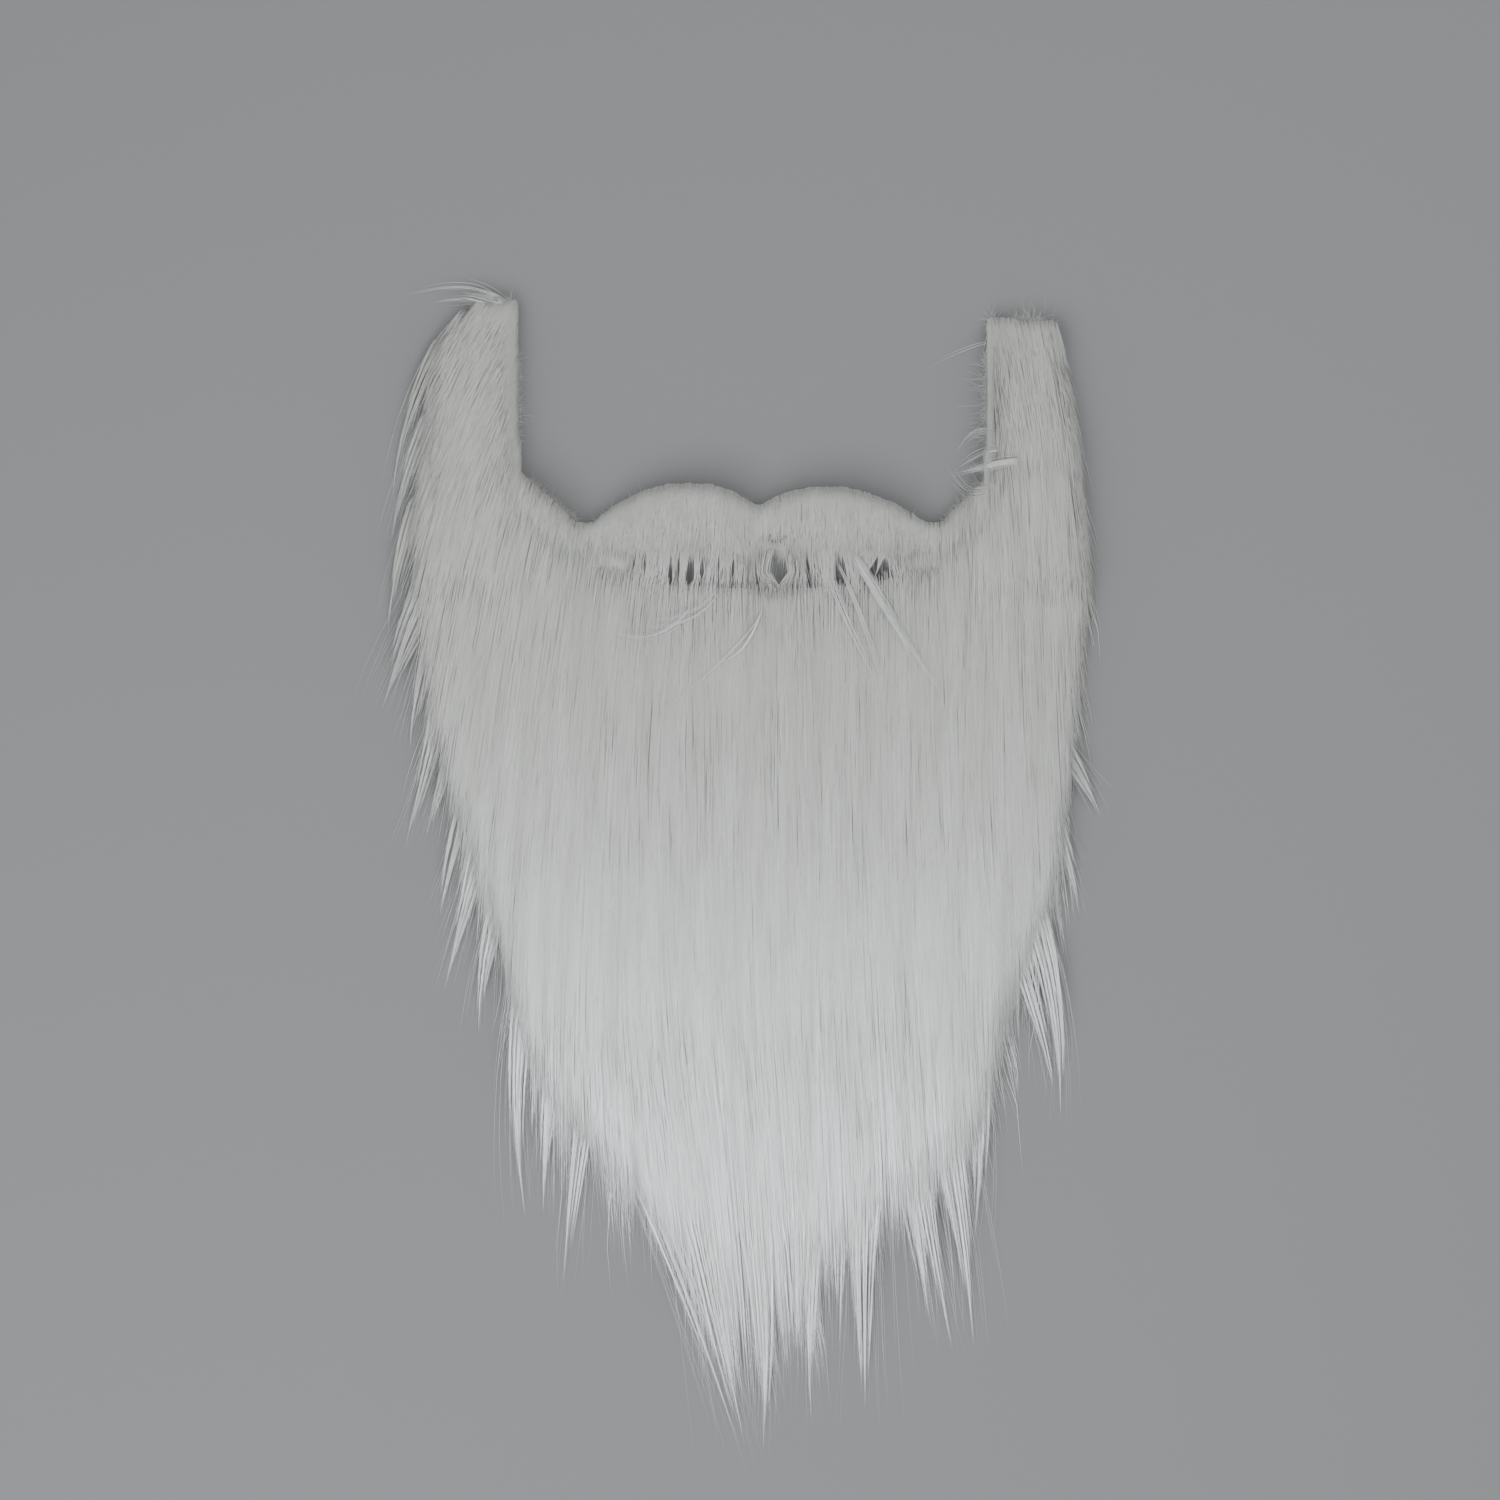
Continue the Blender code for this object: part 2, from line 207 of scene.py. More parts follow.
# Fields of long pile: the frame's node that each stands for, its stretch, its strands and its clumps' pitch
FIELDS = (
    # piece, node, y high, y low, strands, points, pitch x, pitch y
    ("chin_hair_upper", "chin_fur", -4.0, -84.0, 16000, 6, 4.0, 11.0),
    ("chin_hair_middle", "chin_fur", -84.0, -142.0, 16500, 6, 4.0, 12.0),
    ("chin_hair_lower", "chin_fur", -142.0, -212.0, 16500, 6, 4.0, 12.0),
    ("sideburn_hair_left", "sideburn_fur_left", 80.0, -23.0, 5800, 6, 4.0, 8.0),
    ("sideburn_hair_right", "sideburn_fur_right", 80.0, -23.0, 5400, 6, 4.0, 8.0),
)

# How much the long pile turns out at its edges, and where it loosens into the fringe
FIELD_SPLAY = 2.5
FRINGE_FROM, FRINGE_TO = -185, -215

# Share of the clumps at the sides whose strands gather in strings, and how far those stand out
STRING_SHARE, STRING_REACH = 0.35, 11.0

# Fields of short pile on the lobes, at the cut edges and on the straps, and under the slit
NAPS = {
    # y high, y low, strands, shortest, longest, overhang, push off the edge
    "lobe": (18.0, -7.0, 6500, 7, 13, 3.0, 2.0),
    "edge": (79.0, -14.0, 9500, 8, 16, 0.8, 2.0),
    "lip": (-14.0, -50.0, 8500, 14, 34, 0.8, 8.0),
}

# A short strand's points as shares of its length, its least length, and the share rooted at the rim
NAP_SHARES = (0, 0.04, 0.2, 0.55, 1)
NAP_LEAST = 4.5
RIM_SHARE, RIM_EDGE = 0.45, 0.68

# Where the short pile lies: the lobes, the straps, and under the slit, where it sinks into the long pile
LOBE_FOOT = -7.0
STRAP_FOOT, STRAP_SIDES_TOP = 26.0, 63.0
LIP_MIDDLE, LIP_REACH = 4, 58
LIP_SINKS = (-25, -19)

# Fine hairs off the cut edges, longer at the right strap, and off the long sides
FUZZ_STRANDS, FUZZ_TOP, FUZZ_FOOT = 5000, 79.0, -24.0
FUZZ_LONG, FUZZ_SHORT, RIGHT_STRAP = 1.2, 0.5, 76
WISP_STRANDS, WISP_TOP, WISP_FOOT = 2400, 60.0, -215.0

# The pile's dense inside: its depth, the smoothed mask's share at its rim, where it ends and thins,
# and below which y it goes on past the cloth
UNDERFUR_DEPTH, UNDERFUR_EDGE = 1.0, 0.7
UNDERFUR_FOOT, UNDERFUR_THINS = -226, (-222, -196)
OFF_CLOTH_FROM = -150

# The lobes' inside: its depth, its rounding at the edges, and the notches at their foot that it fills
LOBE_DEPTH, LOBE_ROUNDING = 1.0, 2.2
NOTCH_CELLS, NOTCH_FOOT = 5, -6.0

# Locks, as in the solids: where each starts, bends and ends, and its width where it starts
CHIN_LOCKS = (
    # x0, y0, x1, y1, x2, y2, width
    (-114.5, -28.5, -121.6, -44.5, -128.5, -63.0, 11.0),
    (-110.9, -43.9, -115.8, -60.0, -118.6, -76.0, 6.5),
    (-107.5, -62.0, -113.5, -86.0, -120.4, -110.5, 6.2),
    (-103.5, -76.0, -109.0, -92.0, -113.4, -107.0, 4.4),
    (-98.3, -95.3, -103.9, -113.9, -108.6, -133.6, 6.0),
    (-92.6, -108.9, -100.0, -132.5, -107.4, -159.5, 8.4),
    (-86.6, -128.5, -92.4, -148.9, -95.2, -174.1, 6.6),
    (-79.6, -161.5, -82.0, -198.9, -79.2, -237.0, 8.0),
    (-73.0, -170.3, -75.6, -190.7, -76.8, -209.4, 4.6),
    (-66.0, -172.9, -71.0, -202.9, -73.1, -235.9, 9.2),
    (-56.1, -181.1, -61.2, -214.1, -66.3, -260.8, 9.4),
    (-51.0, -194.1, -30.3, -246.5, -5.1, -316.9, 9.0),
    (-38.8, -201.9, -22.6, -251.6, -5.1, -311.1, 10.6),
    (-22.8, -207.7, -13.6, -262.1, -4.1, -314.5, 16.0),
    (-2.7, -218.7, 2.2, -270.3, 2.2, -316.5, 13.6),
    (11.2, -221.5, 13.6, -254.0, 13.4, -282.8, 17.0),
    (20.7, -224.9, 18.2, -268.3, 18.6, -306.0, 5.4),
    (29.4, -217.5, 28.8, -248.5, 28.2, -281.8, 8.0),
    (37.6, -211.5, 36.9, -255.3, 37.1, -303.9, 13.0),
    (46.9, -203.1, 54.0, -239.7, 59.1, -274.0, 8.2),
    (52.7, -199.7, 60.2, -246.5, 66.9, -282.2, 7.6),
    (61.9, -194.9, 69.8, -239.7, 74.1, -280.8, 11.4),
    (74.3, -186.9, 75.8, -214.5, 74.5, -244.4, 8.2),
    (85.8, -136.0, 95.6, -167.0, 101.6, -193.0, 7.0),
    (93.0, -128.5, 101.8, -164.9, 103.8, -203.9, 10.0),
    (98.7, -98.3, 105.8, -113.3, 110.5, -133.7, 7.0),
    (102.1, -72.3, 111.6, -87.0, 117.8, -99.4, 6.0),
)
SIDEBURN_LOCKS = (
    # x0, y0, x1, y1, x2, y2, width
    (-107.6, 62.0, -118.4, 38.5, -124.6, 10.0, 5.6),
    (-111.4, 36.0, -119.4, 17.0, -125.2, -6.0, 5.6),
    (-115.4, 8.0, -122.2, -14.0, -126.2, -37.0, 6.2),
)
LOCKS = (
    # piece, node, locks, points, strands for each mm of width, lead in the pile, spread of the roots
    ("chin_locks", "chin_fur", CHIN_LOCKS, 8, 26, 36.0, 1.5),
    ("sideburn_locks", "sideburn_fur_left", SIDEBURN_LOCKS, 8, 24, 4.0, 0.3),
)

# How high the locks leave the pile, and how thick they are for each mm of width
LOCK_LIFT = 4.2
LOCK_FLATNESS = 0.5

# The moustache's long strands hang across the mouth slit and leave these openings
CURTAINS = (
    # piece, node, x from, x to, strands
    ("moustache_fringe_left", "moustache_fur_left", -41.0, 5.0, 520),
    ("moustache_fringe_right", "moustache_fur_right", 5.0, 50.0, 520),
)
SLIT_GAPS = (
    # x, y high, y low, half width, lean
    (-38.1, -10.0, -15.5, 0.6, 0.0),
    (-29.2, -8.5, -19.5, 0.7, 0.0),
    (-26.4, -8.0, -17.0, 0.6, 0.0),
    (-22.4, -6.5, -20.5, 1.5, -0.05),
    (-18.6, -9.5, -17.5, 0.7, 0.0),
    (-12.9, -9.5, -15.0, 0.4, 0.0),
    (-8.2, -11.0, -16.5, 0.5, -0.1),
    (0.3, -9.5, -16.5, 0.6, 0.1),
    (7.3, -5.5, -18.5, 3.4, 0.0),
    (17.3, -9.5, -16.5, 0.6, 0.2),
    (28.0, -5.5, -21.5, 2.3, 0.12),
    (39.6, -9.5, -17.5, 0.7, -0.55),
    (43.6, -7.5, -16.0, 0.9, -0.6),
)

# The rows of points across the slit, the strands' height over it, and the x that they lean away from
SLIT_ROWS = (-6.0, -8.5, -11.0, -13.5, -16.0, -18.5)
CURTAIN_HEIGHT = 8.4
PARTING = 5.0

# Single bundles of hair that lie over the pile or stand off its edges
STRAYS = (
    # x0, y0, x1, y1, x2, y2, width, strands, height
    (-85.5, 75.6, -92.0, 78.2, -102.0, 80.4, 2.2, 70, 4.0),
    (-88.5, 76.5, -101.0, 81.6, -124.0, 77.8, 1.6, 10, 3.5),
    (-92.0, 75.0, -100.0, 77.4, -112.0, 76.0, 2.4, 12, 3.0),
    (91.5, 22.4, 80.0, 20.4, 66.0, 17.6, 1.7, 60, 16.0),
    (84.0, 25.0, 76.0, 24.6, 66.0, 17.4, 2.4, 10, 6.0),
    (80.0, 14.0, 72.0, 12.6, 65.0, 22.0, 3.0, 9, 5.0),
    (82.0, 31.0, 74.0, 31.4, 67.5, 23.5, 3.0, 8, 5.0),
    (80.0, 62.0, 72.0, 60.4, 55.4, 52.7, 0.8, 3, 5.0),
    (29.6, -6.0, 42.0, -25.0, 55.0, -50.0, 1.7, 60, 9.5),
    (32.0, -9.0, 47.0, -34.0, 69.0, -66.3, 1.4, 22, 9.3),
    (22.6, -12.0, 31.0, -33.0, 41.8, -56.0, 1.6, 18, 9.0),
    (26.0, -10.0, 37.0, -36.0, 47.0, -70.0, 1.6, 14, 9.0),
    (3.0, -24.0, -4.0, -41.0, -15.0, -47.3, 1.2, 16, 8.0),
    (4.0, -26.0, -14.0, -48.0, -46.6, -73.1, 0.8, 7, 8.0),
    (-12.0, -20.0, -24.0, -31.0, -44.0, -33.0, 2.4, 14, 8.0),
    (-20.0, -24.0, -33.0, -37.0, -50.0, -36.0, 2.4, 12, 8.0),
)

# Tints of the strands, from the neutral upper pile to a whiter and cooler fringe: painted light, for the
# stronger light on the lower beard
NEUTRAL_TINT, PAINTED_LIGHT_TINT = (0.785, 0.79, 0.775), (0.94, 0.945, 0.95)
TINT_STEPS = 12
PAINTED_LIGHT_FROM, PAINTED_LIGHT_TO = 0.0, -195.0

# Colours of the dense inside, grey as painted shade for the depth of the pile, the knit and the table
UNDERFUR_PAINTED_SHADE_DARK, UNDERFUR_PAINTED_SHADE_PALE = (0.52, 0.525, 0.52, 1), (0.60, 0.605, 0.60, 1)
# The knit's dark end is painted shade between the loops
KNIT_PAINTED_SHADE, KNIT_PALE = (0.58, 0.56, 0.51, 1), (0.80, 0.78, 0.72, 1)
TABLE_GREY = (0.33, 0.335, 0.345, 1)

# Soft bands down the beard, and the share of its own facing in how a strand is shaded
BAND_WIDTH = 3.0
BAND_TILT = (0.04, 0.11)
OWN_SHADE = 0.3


def clear_scene():
    for thing in list(bpy.data.objects):
        bpy.data.objects.remove(thing, do_unlink=True)


def smoothstep(low, high, value):
    share = np.clip((value - low) / (high - low), 0.0, 1.0)
    return share * share * (3 - 2 * share)


def blurred(grid, reach):
    """The grid smoothed by a bell curve whose width is reach, in millimetres."""
    half = int(3 * reach / GRID_STEP)
    bell = np.exp(-0.5 * (np.arange(-half, half + 1) * GRID_STEP / reach) ** 2)
    bell /= bell.sum()
    for axis in (0, 1):
        grid = np.apply_along_axis(lambda line: np.convolve(line, bell, mode="same"), axis, grid)
    return grid


def spread(grid, cells, pick=np.maximum):
    """The grid with each point given the most, or least, of what lies within some cells."""
    for _ in range(cells):
        for axis in (0, 1):
            grid = pick(grid, pick(np.roll(grid, 1, axis), np.roll(grid, -1, axis)))
    return grid


def closed(grid, cells):
    """The grid with its gaps and notches filled where they are up to twice the cells wide."""
    return spread(spread(grid, cells), cells, np.minimum)


def tree_of(node):
    mesh = node.data
    return BVHTree.FromPolygons([v.co for v in mesh.vertices], [p.vertices for p in mesh.polygons])


class Ground:
    """Heights of the frame's solids over the table, on a grid, and which solid is on top."""

    def __init__(self, nodes):
        low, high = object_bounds()
        self.low = np.array(low[:2]) / MM - GRID_MARGIN
        high = np.array(high[:2]) / MM + GRID_MARGIN
        self.count = np.ceil((high - self.low) / GRID_STEP).astype(int) + 1
        self.top = {}
        for name, node in nodes.items():
            self.top[name] = self.sounded(node, *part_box(name))
        fur = [grid for name, grid in self.top.items() if name != "backing_cloth"]
        fur = np.maximum.reduce(fur)
        self.x = self.low[0] + np.arange(self.count[0]) * GRID_STEP
        self.y = self.low[1] + np.arange(self.count[1]) * GRID_STEP
        slightly, more = (closed(fur, cells) for cells in (1, 3))
        self.height = np.where((self.y > SLIT_TOP)[:, None], slightly, more)
        self.cloth = (self.top["backing_cloth"] > 0).astype(float)
        floored = np.maximum(self.height, LEAST_HEIGHT)
        self.near = blurred(floored, 1.4)
        self.wide = blurred(floored, 4.5)
        self.full = blurred(spread(self.height, 3), 1.0)
        self.fur = (self.height > FUR_EDGE).astype(float)
        self.inside = blurred(self.fur, 2.4)
        self.slope = np.stack(np.gradient(self.inside, GRID_STEP), axis=-1)
        rise_y, rise_x = np.gradient(blurred(floored, 2.5), GRID_STEP)
        self.facing = np.stack((-rise_x, -rise_y, np.ones_like(rise_x)), axis=-1)
        left = np.interp(self.y, MAT_EDGE[:, 0], MAT_EDGE[:, 1])[:, None]
        right = np.interp(self.y, MAT_EDGE[:, 0], MAT_EDGE[:, 2])[:, None]
        self.mat = self.fur * (self.x[None] > left) * (self.x[None] < right)
        self.side = (self.x[None] < left + SIDE_REACH) | (self.x[None] > right - SIDE_REACH)

    def sounded(self, node, low, high):
        """The node's height at each point of the grid, 0 where it isn't there."""
        grid = np.zeros(self.count[::-1])
        tree = tree_of(node)
        down = Vector((0, 0, -1))
        first = np.floor((np.array(low[:2]) / MM - self.low) / GRID_STEP).astype(int)
        last = np.ceil((np.array(high[:2]) / MM - self.low) / GRID_STEP).astype(int)
        for j in range(first[1], last[1] + 1):
            for i in range(first[0], last[0] + 1):
                x, y = (self.low + np.array((i, j)) * GRID_STEP) * MM
                hit = tree.ray_cast(Vector((x, y, 1)), down)[0]
                if hit is not None:
                    grid[j, i] = hit.z / MM
        return grid

    def at(self, grid, x, y):
        """The grid's value at each x and y, between its points."""
        u = np.clip((x - self.low[0]) / GRID_STEP, 0, self.count[0] - 1.001)
        v = np.clip((y - self.low[1]) / GRID_STEP, 0, self.count[1] - 1.001)
        i, j = u.astype(int), v.astype(int)
        a, b = u - i, v - j
        if grid.ndim == 3:
            a, b = a[..., None], b[..., None]
        lower = grid[j, i] * (1 - a) + grid[j, i + 1] * a
        upper = grid[j + 1, i] * (1 - a) + grid[j + 1, i + 1] * a
        return lower * (1 - b) + upper * b


def lean_at(x, y):
    """The pile's lean, weighted between the places of the table."""
    far = (x[:, None] - LEAN[:, 0]) ** 2 + (y[:, None] - LEAN[:, 1]) ** 2
    weight = np.exp(-far / (2 * LEAN_REACH**2)) + 1e-9
    lean = (weight * LEAN[:, 2]).sum(1) / weight.sum(1)
    ripple = np.sin(x / 6.1 + 1.7 * np.sin(y / 31.0)) + np.sin(x / 3.3 - y / 47.0 + 0.8)
    return lean + LEAN_RIPPLE * ripple


def combed(ground, roots, lengths, points, splay):
    """Flat paths that follow the lean down from the roots, and turn out a little at the edges."""
    paths = [roots]
    at = roots
    step = (lengths / (points - 1))[:, None]
    for n in range(points - 1):
        slope = ground.at(ground.slope, at[:, 0], at[:, 1])
        way = np.stack((lean_at(at[:, 0], at[:, 1]), -np.ones(len(at))), 1)
        way[:, 0] -= splay * slope[:, 1] * (1 - n / points)
        way /= np.linalg.norm(way, axis=1)[:, None]
        at = at + way * step
        paths.append(at)
    return np.stack(paths, 1)


def travelled(paths):
    """The length of each step of the flat paths, and how far along them each point lies."""
    steps = np.linalg.norm(np.diff(paths, axis=1), axis=2)
    return steps, np.concatenate((np.zeros((len(paths), 1)), np.cumsum(steps, axis=1)), axis=1)


def cut_back(ground, within, paths, overhang, shares=None, least=2.0):
    """Each path ended by its overhang past the mask, but never too short, with its points at the shares."""
    count, points, _ = paths.shape
    steps, along = travelled(paths)
    inside = ground.at(within.astype(float), paths[..., 0], paths[..., 1]) > 0.5
    inside[:, 0] = True
    left = np.argmin(inside, axis=1)
    leaves = ~inside.all(axis=1)
    reach = along[:, -1].copy()
    reach[leaves] = along[np.arange(count), left][leaves] + overhang[leaves] - steps.mean(1)[leaves] / 2
    reach = np.clip(reach, least, along[:, -1])
    share = reach / along[:, -1]
    shares = np.linspace(0, 1, points) if shares is None else np.array(shares)
    places = share[:, None] * shares * (points - 1)
    whole = np.minimum(places.astype(int), points - 2)
    part = (places - whole)[..., None]
    rows = np.arange(count)[:, None]
    return paths[rows, whole] * (1 - part) + paths[rows, whole + 1] * part


def tint_of(x, y):
    """The number of each strand's tint: whiter and cooler towards the fringe as painted light, and near its
    soft band's own.
    """
    painted_light = smoothstep(PAINTED_LIGHT_FROM, PAINTED_LIGHT_TO, y) * (TINT_STEPS - 3) + 1
    band = np.sin(x / BAND_WIDTH + 2 * np.sin(y / 27)) + np.sin(2.3 * x / BAND_WIDTH - y / 31)
    return np.clip(np.round(painted_light + 0.5 * band + rng.normal(0, 0.6, len(y))), 0, TINT_STEPS - 1)


def unit(vectors):
    return vectors / (np.linalg.norm(vectors, axis=-1, keepdims=True) + 1e-9)


def facing_at(ground, paths):
    """The way that the pile's surface looks at each point, rippled in soft bands down the beard."""
    x, y = paths[..., 0], paths[..., 1]
    facing = ground.at(ground.facing, x, y)
    ripple = np.sin(x + 1.9 * np.sin(y / 37)) + np.sin(x / 1.7 - y / 55) + np.sin(x / 2.9 + y / 43)
    facing[..., 0] += ripple * (BAND_TILT[0] + (BAND_TILT[1] - BAND_TILT[0]) * smoothstep(-60, -200, y))
    return unit(facing)


def placed(name, mesh, look):
    """A new object of the scene, with its mesh and material."""
    mesh.materials.append(look)
    made = bpy.data.objects.new(name, mesh)
    bpy.context.scene.collection.objects.link(made)
    return made


def ribbons(name, paths, widths, tints, look, facing=None, roll=0.2):
    """One mesh of tapering ribbons: paths is strands by points by x, y and z, in millimetres.

    Each ribbon lies flat on the surface that it faces away from, and is shaded mostly as that surface is.
    """
    count, points, _ = paths.shape
    paths = paths * MM
    along = unit(np.gradient(paths, axis=1))
    up = np.array((0.0, 0.0, 1.0))
    facing = np.broadcast_to(up, paths.shape) if facing is None else facing
    across = unit(np.cross(along, facing))
    turn = rng.uniform(-roll, roll, (count, 1, 1))
    across = across * np.cos(turn) + np.cross(across, along) * np.sin(turn)
    shaded = unit(OWN_SHADE * np.cross(across, along) + (1 - OWN_SHADE) * unit(facing + up))
    t = np.linspace(0, 1, points)
    taper = np.interp(t, (0, 0.15, 0.6, 1), (0.7, 1.0, 0.9, 0.12))
    half = widths[:, None, None] * MM / 2 * taper[None, :, None]
    pairs = np.stack((paths - across * half, paths + across * half), axis=2)
    corners = np.concatenate((pairs[:, :-1].reshape(count, -1, 3), paths[:, -1:]), axis=1)
    each = 2 * (points - 1) + 1
    quad = np.array([(2 * k, 2 * k + 1, 2 * k + 3, 2 * k + 2) for k in range(points - 2)]).ravel()
    tip = np.array((each - 3, each - 2, each - 1))
    loops = (np.concatenate((quad, tip))[None] + each * np.arange(count)[:, None]).ravel()
    sizes = np.tile([4] * (points - 2) + [3], count)
    mesh = bpy.data.meshes.new(name)
    mesh.vertices.add(corners.shape[0] * corners.shape[1])
    mesh.vertices.foreach_set("co", corners.astype(np.float32).ravel())
    mesh.loops.add(len(loops))
    mesh.loops.foreach_set("vertex_index", loops.astype(np.int32))
    mesh.polygons.add(len(sizes))
    starts = np.concatenate(((0,), np.cumsum(sizes)[:-1]))
    mesh.polygons.foreach_set("loop_start", starts.astype(np.int32))
    mesh.polygons.foreach_set("loop_total", sizes.astype(np.int32))
    mesh.polygons.foreach_set("use_smooth", np.ones(len(sizes), bool))
    mesh.update(calc_edges=True)
    place = np.zeros((count, each, 2))
    middle = (tints + 0.5) / TINT_STEPS
    place[:, 0:-1:2, 0] = (middle - 0.3 / TINT_STEPS)[:, None]
    place[:, 1::2, 0] = (middle + 0.3 / TINT_STEPS)[:, None]
    place[:, -1, 0] = middle
    place[:, :-1, 1] = 0.02 + 0.96 * np.repeat(t[:-1], 2)[None]
    place[:, -1, 1] = 0.98
    layer = mesh.uv_layers.new(name="OFBake")
    layer.data.foreach_set("uv", place.reshape(-1, 2)[loops].astype(np.float32).ravel())
    shaded = np.concatenate((np.repeat(shaded[:, :-1], 2, axis=1), shaded[:, -1:]), axis=1)
    mesh.normals_split_custom_set_from_vertices(shaded.reshape(-1, 3).astype(np.float32))
    return placed(name, mesh, look)


def dressed(piece, *nodes):
    """The fur piece rides on the beard, and stands for the nodes given."""
    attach(piece, "root")
    if nodes:
        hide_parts(*nodes)


def scattered(ground, mask, high, low, strands, pitch_x, pitch_y):
    """Roots in clumps: the clumps' places, and each strand's clump and its offset from it."""
    xs = np.arange(ground.low[0], ground.low[0] + ground.count[0], pitch_x)
    ys = np.arange(low, high, pitch_y)
    grid = np.stack(np.meshgrid(xs, ys), -1).reshape(-1, 2)
    clumps = grid + rng.uniform(-0.5, 0.5, grid.shape) * (pitch_x, pitch_y)
    wide = blurred(mask.astype(float), 2.0)
    clumps = clumps[ground.at(wide, clumps[:, 0], clumps[:, 1]) > 0.25]
    found = []
    while sum(len(f[0]) for f in found) < strands:
        which = rng.integers(0, len(clumps), 2 * strands)
        offset = rng.uniform(-0.75, 0.75, (len(which), 2)) * (pitch_x, pitch_y)
        roots = clumps[which] + offset
        kept = ground.at(mask.astype(float), roots[:, 0], roots[:, 1]) > 0.5
        kept &= (roots[:, 1] < high) & (roots[:, 1] > low)
        found.append((which[kept], offset[kept]))
    which = np.concatenate([f[0] for f in found])[:strands]
    offset = np.concatenate([f[1] for f in found])[:strands]
    return clumps, which, offset


def roots_in(ground, mask, high, low, count):
    """Roots spread evenly over the mask with its edge smoothed, between two places down the beard."""
    shape = blurred(mask.astype(float), 1.0)
    jj, ii = np.nonzero((shape > 0.2) & (ground.y < high)[:, None] & (ground.y > low)[:, None])
    which = rng.integers(0, len(jj), 3 * count)
    places = np.stack((ground.x[ii[which]], ground.y[jj[which]]), 1)
    places += rng.uniform(-0.5, 0.5, places.shape) * GRID_STEP
    return places[ground.at(shape, places[:, 0], places[:, 1]) > 0.5][:count]


def laid(ground, heights, paths, layer, rise):
    """The flat paths with their heights: out of the cloth, then on the pile's surface."""
    _, along = travelled(paths)
    up = 1 - np.exp(-along / rise)
    surface = ground.at(heights, paths[..., 0], paths[..., 1])
    z = CLOTH_TOP * (1 - up) + (surface - layer) * up
    return np.concatenate((paths, np.maximum(z, TABLE_CLEARANCE)[..., None]), axis=2)


def field(ground, look, name, node, high, low, strands, points, pitch_x, pitch_y):
    """A stretch of long pile, combed down in soft clumps whose tips lie on top."""
    mask = (ground.top[node] > FUR_EDGE) & (ground.mat > 0) & (blurred(ground.cloth, 2.0) > 0.02)
    clumps, which, offset = scattered(ground, mask, high, low, strands, pitch_x, pitch_y)
    root_y = clumps[which, 1] + offset[:, 1]
    length = np.interp(root_y, PILE_LENGTH[:, 0], PILE_LENGTH[:, 1]) * rng.uniform(0.6, 1.1, strands)
    guides = combed(ground, clumps[which] + offset * (0.35, 1.0), length, points, FIELD_SPLAY)
    t = np.linspace(0, 1, points)
    leaves = ground.at(ground.mat, guides[:, -1, 0], guides[:, -1, 1]) < 0.5
    string = leaves & (rng.random(len(clumps)) < STRING_SHARE)[which]
    gather = np.where(string, rng.uniform(0.6, 1.0, strands), rng.uniform(0.0, 0.2, strands))
    gather = gather[:, None] * t[None] ** 1.5
    paths = guides.copy()
    paths[..., 0] += 0.65 * offset[:, :1] * (1 - gather)
    paths[..., 0] += rng.normal(0, 0.4, (strands, 1)) * np.sin(2.2 * t[None]) * length[:, None] / 50
    bottom = smoothstep(FRINGE_FROM, FRINGE_TO, guides[:, -1, 1])
    far = rng.gamma(2.0, STRING_REACH / 2, strands)
    near = rng.gamma(1.4, 1.2 + 2.4 * bottom)
    paths = cut_back(ground, ground.mat, paths, np.where(string, far, near))
    layer = rng.gamma(1.2, 0.25, strands) * (1 + 6 * bottom)
    sides = ground.at(ground.side * ground.near, paths[:, 3, 0], paths[:, 3, 1])
    deep = rng.random(strands) >= 0.6
    layer = np.where(deep, np.maximum(layer, rng.uniform(0, 0.9, strands) * sides), layer)
    paths = laid(ground, ground.near, paths, layer[:, None], rng.uniform(0.6, 3.0, (strands, 1)))
    widths = rng.uniform(0.22, 0.40, strands)
    tints = tint_of(paths[:, 2, 0], root_y)
    dressed(ribbons(name, paths, widths, tints, look, facing_at(ground, paths)), node)


def nap(ground, look, name, mask, within, heights, high, low, strands, shortest, longest, overhang, push):
    """Short velvety pile, which stands up at a cut edge, a little proud of it, and then lies down."""
    points = len(NAP_SHARES)
    roots = roots_in(ground, mask, high, low, 8 * strands)
    rim = ground.at(ground.inside, roots[:, 0], roots[:, 1]) < RIM_EDGE
    some = int(RIM_SHARE * strands)
    roots = np.concatenate((roots[rim][:some], roots[~rim][: strands - some]))
    strands = len(roots)
    paths = combed(ground, roots, rng.uniform(shortest, longest, strands), points, 1.0)
    paths[..., 0] += rng.normal(0, 0.35, (strands, 1)) * np.linspace(0, 1, points)[None]
    slope = ground.at(ground.slope, roots[:, 0], roots[:, 1])
    paths = cut_back(ground, within, paths, rng.gamma(1.4, overhang, strands), NAP_SHARES, NAP_LEAST)
    outer = np.clip(2 * (1 - ground.at(ground.inside, roots[:, 0], roots[:, 1])), 0, 1) ** 2
    paths[:, 1] -= slope[:, ::-1] * outer[:, None] * push * rng.uniform(0.6, 1.4, (strands, 1))
    layer = rng.gamma(1.2, 0.25, (strands, 1))
    paths = laid(ground, heights, paths, layer, rng.uniform(0.15, 0.5, (strands, 1)))
    tints = tint_of(roots[:, 0], roots[:, 1])
    return ribbons(name, paths, rng.uniform(0.2, 0.36, strands), tints, look, facing_at(ground, paths))


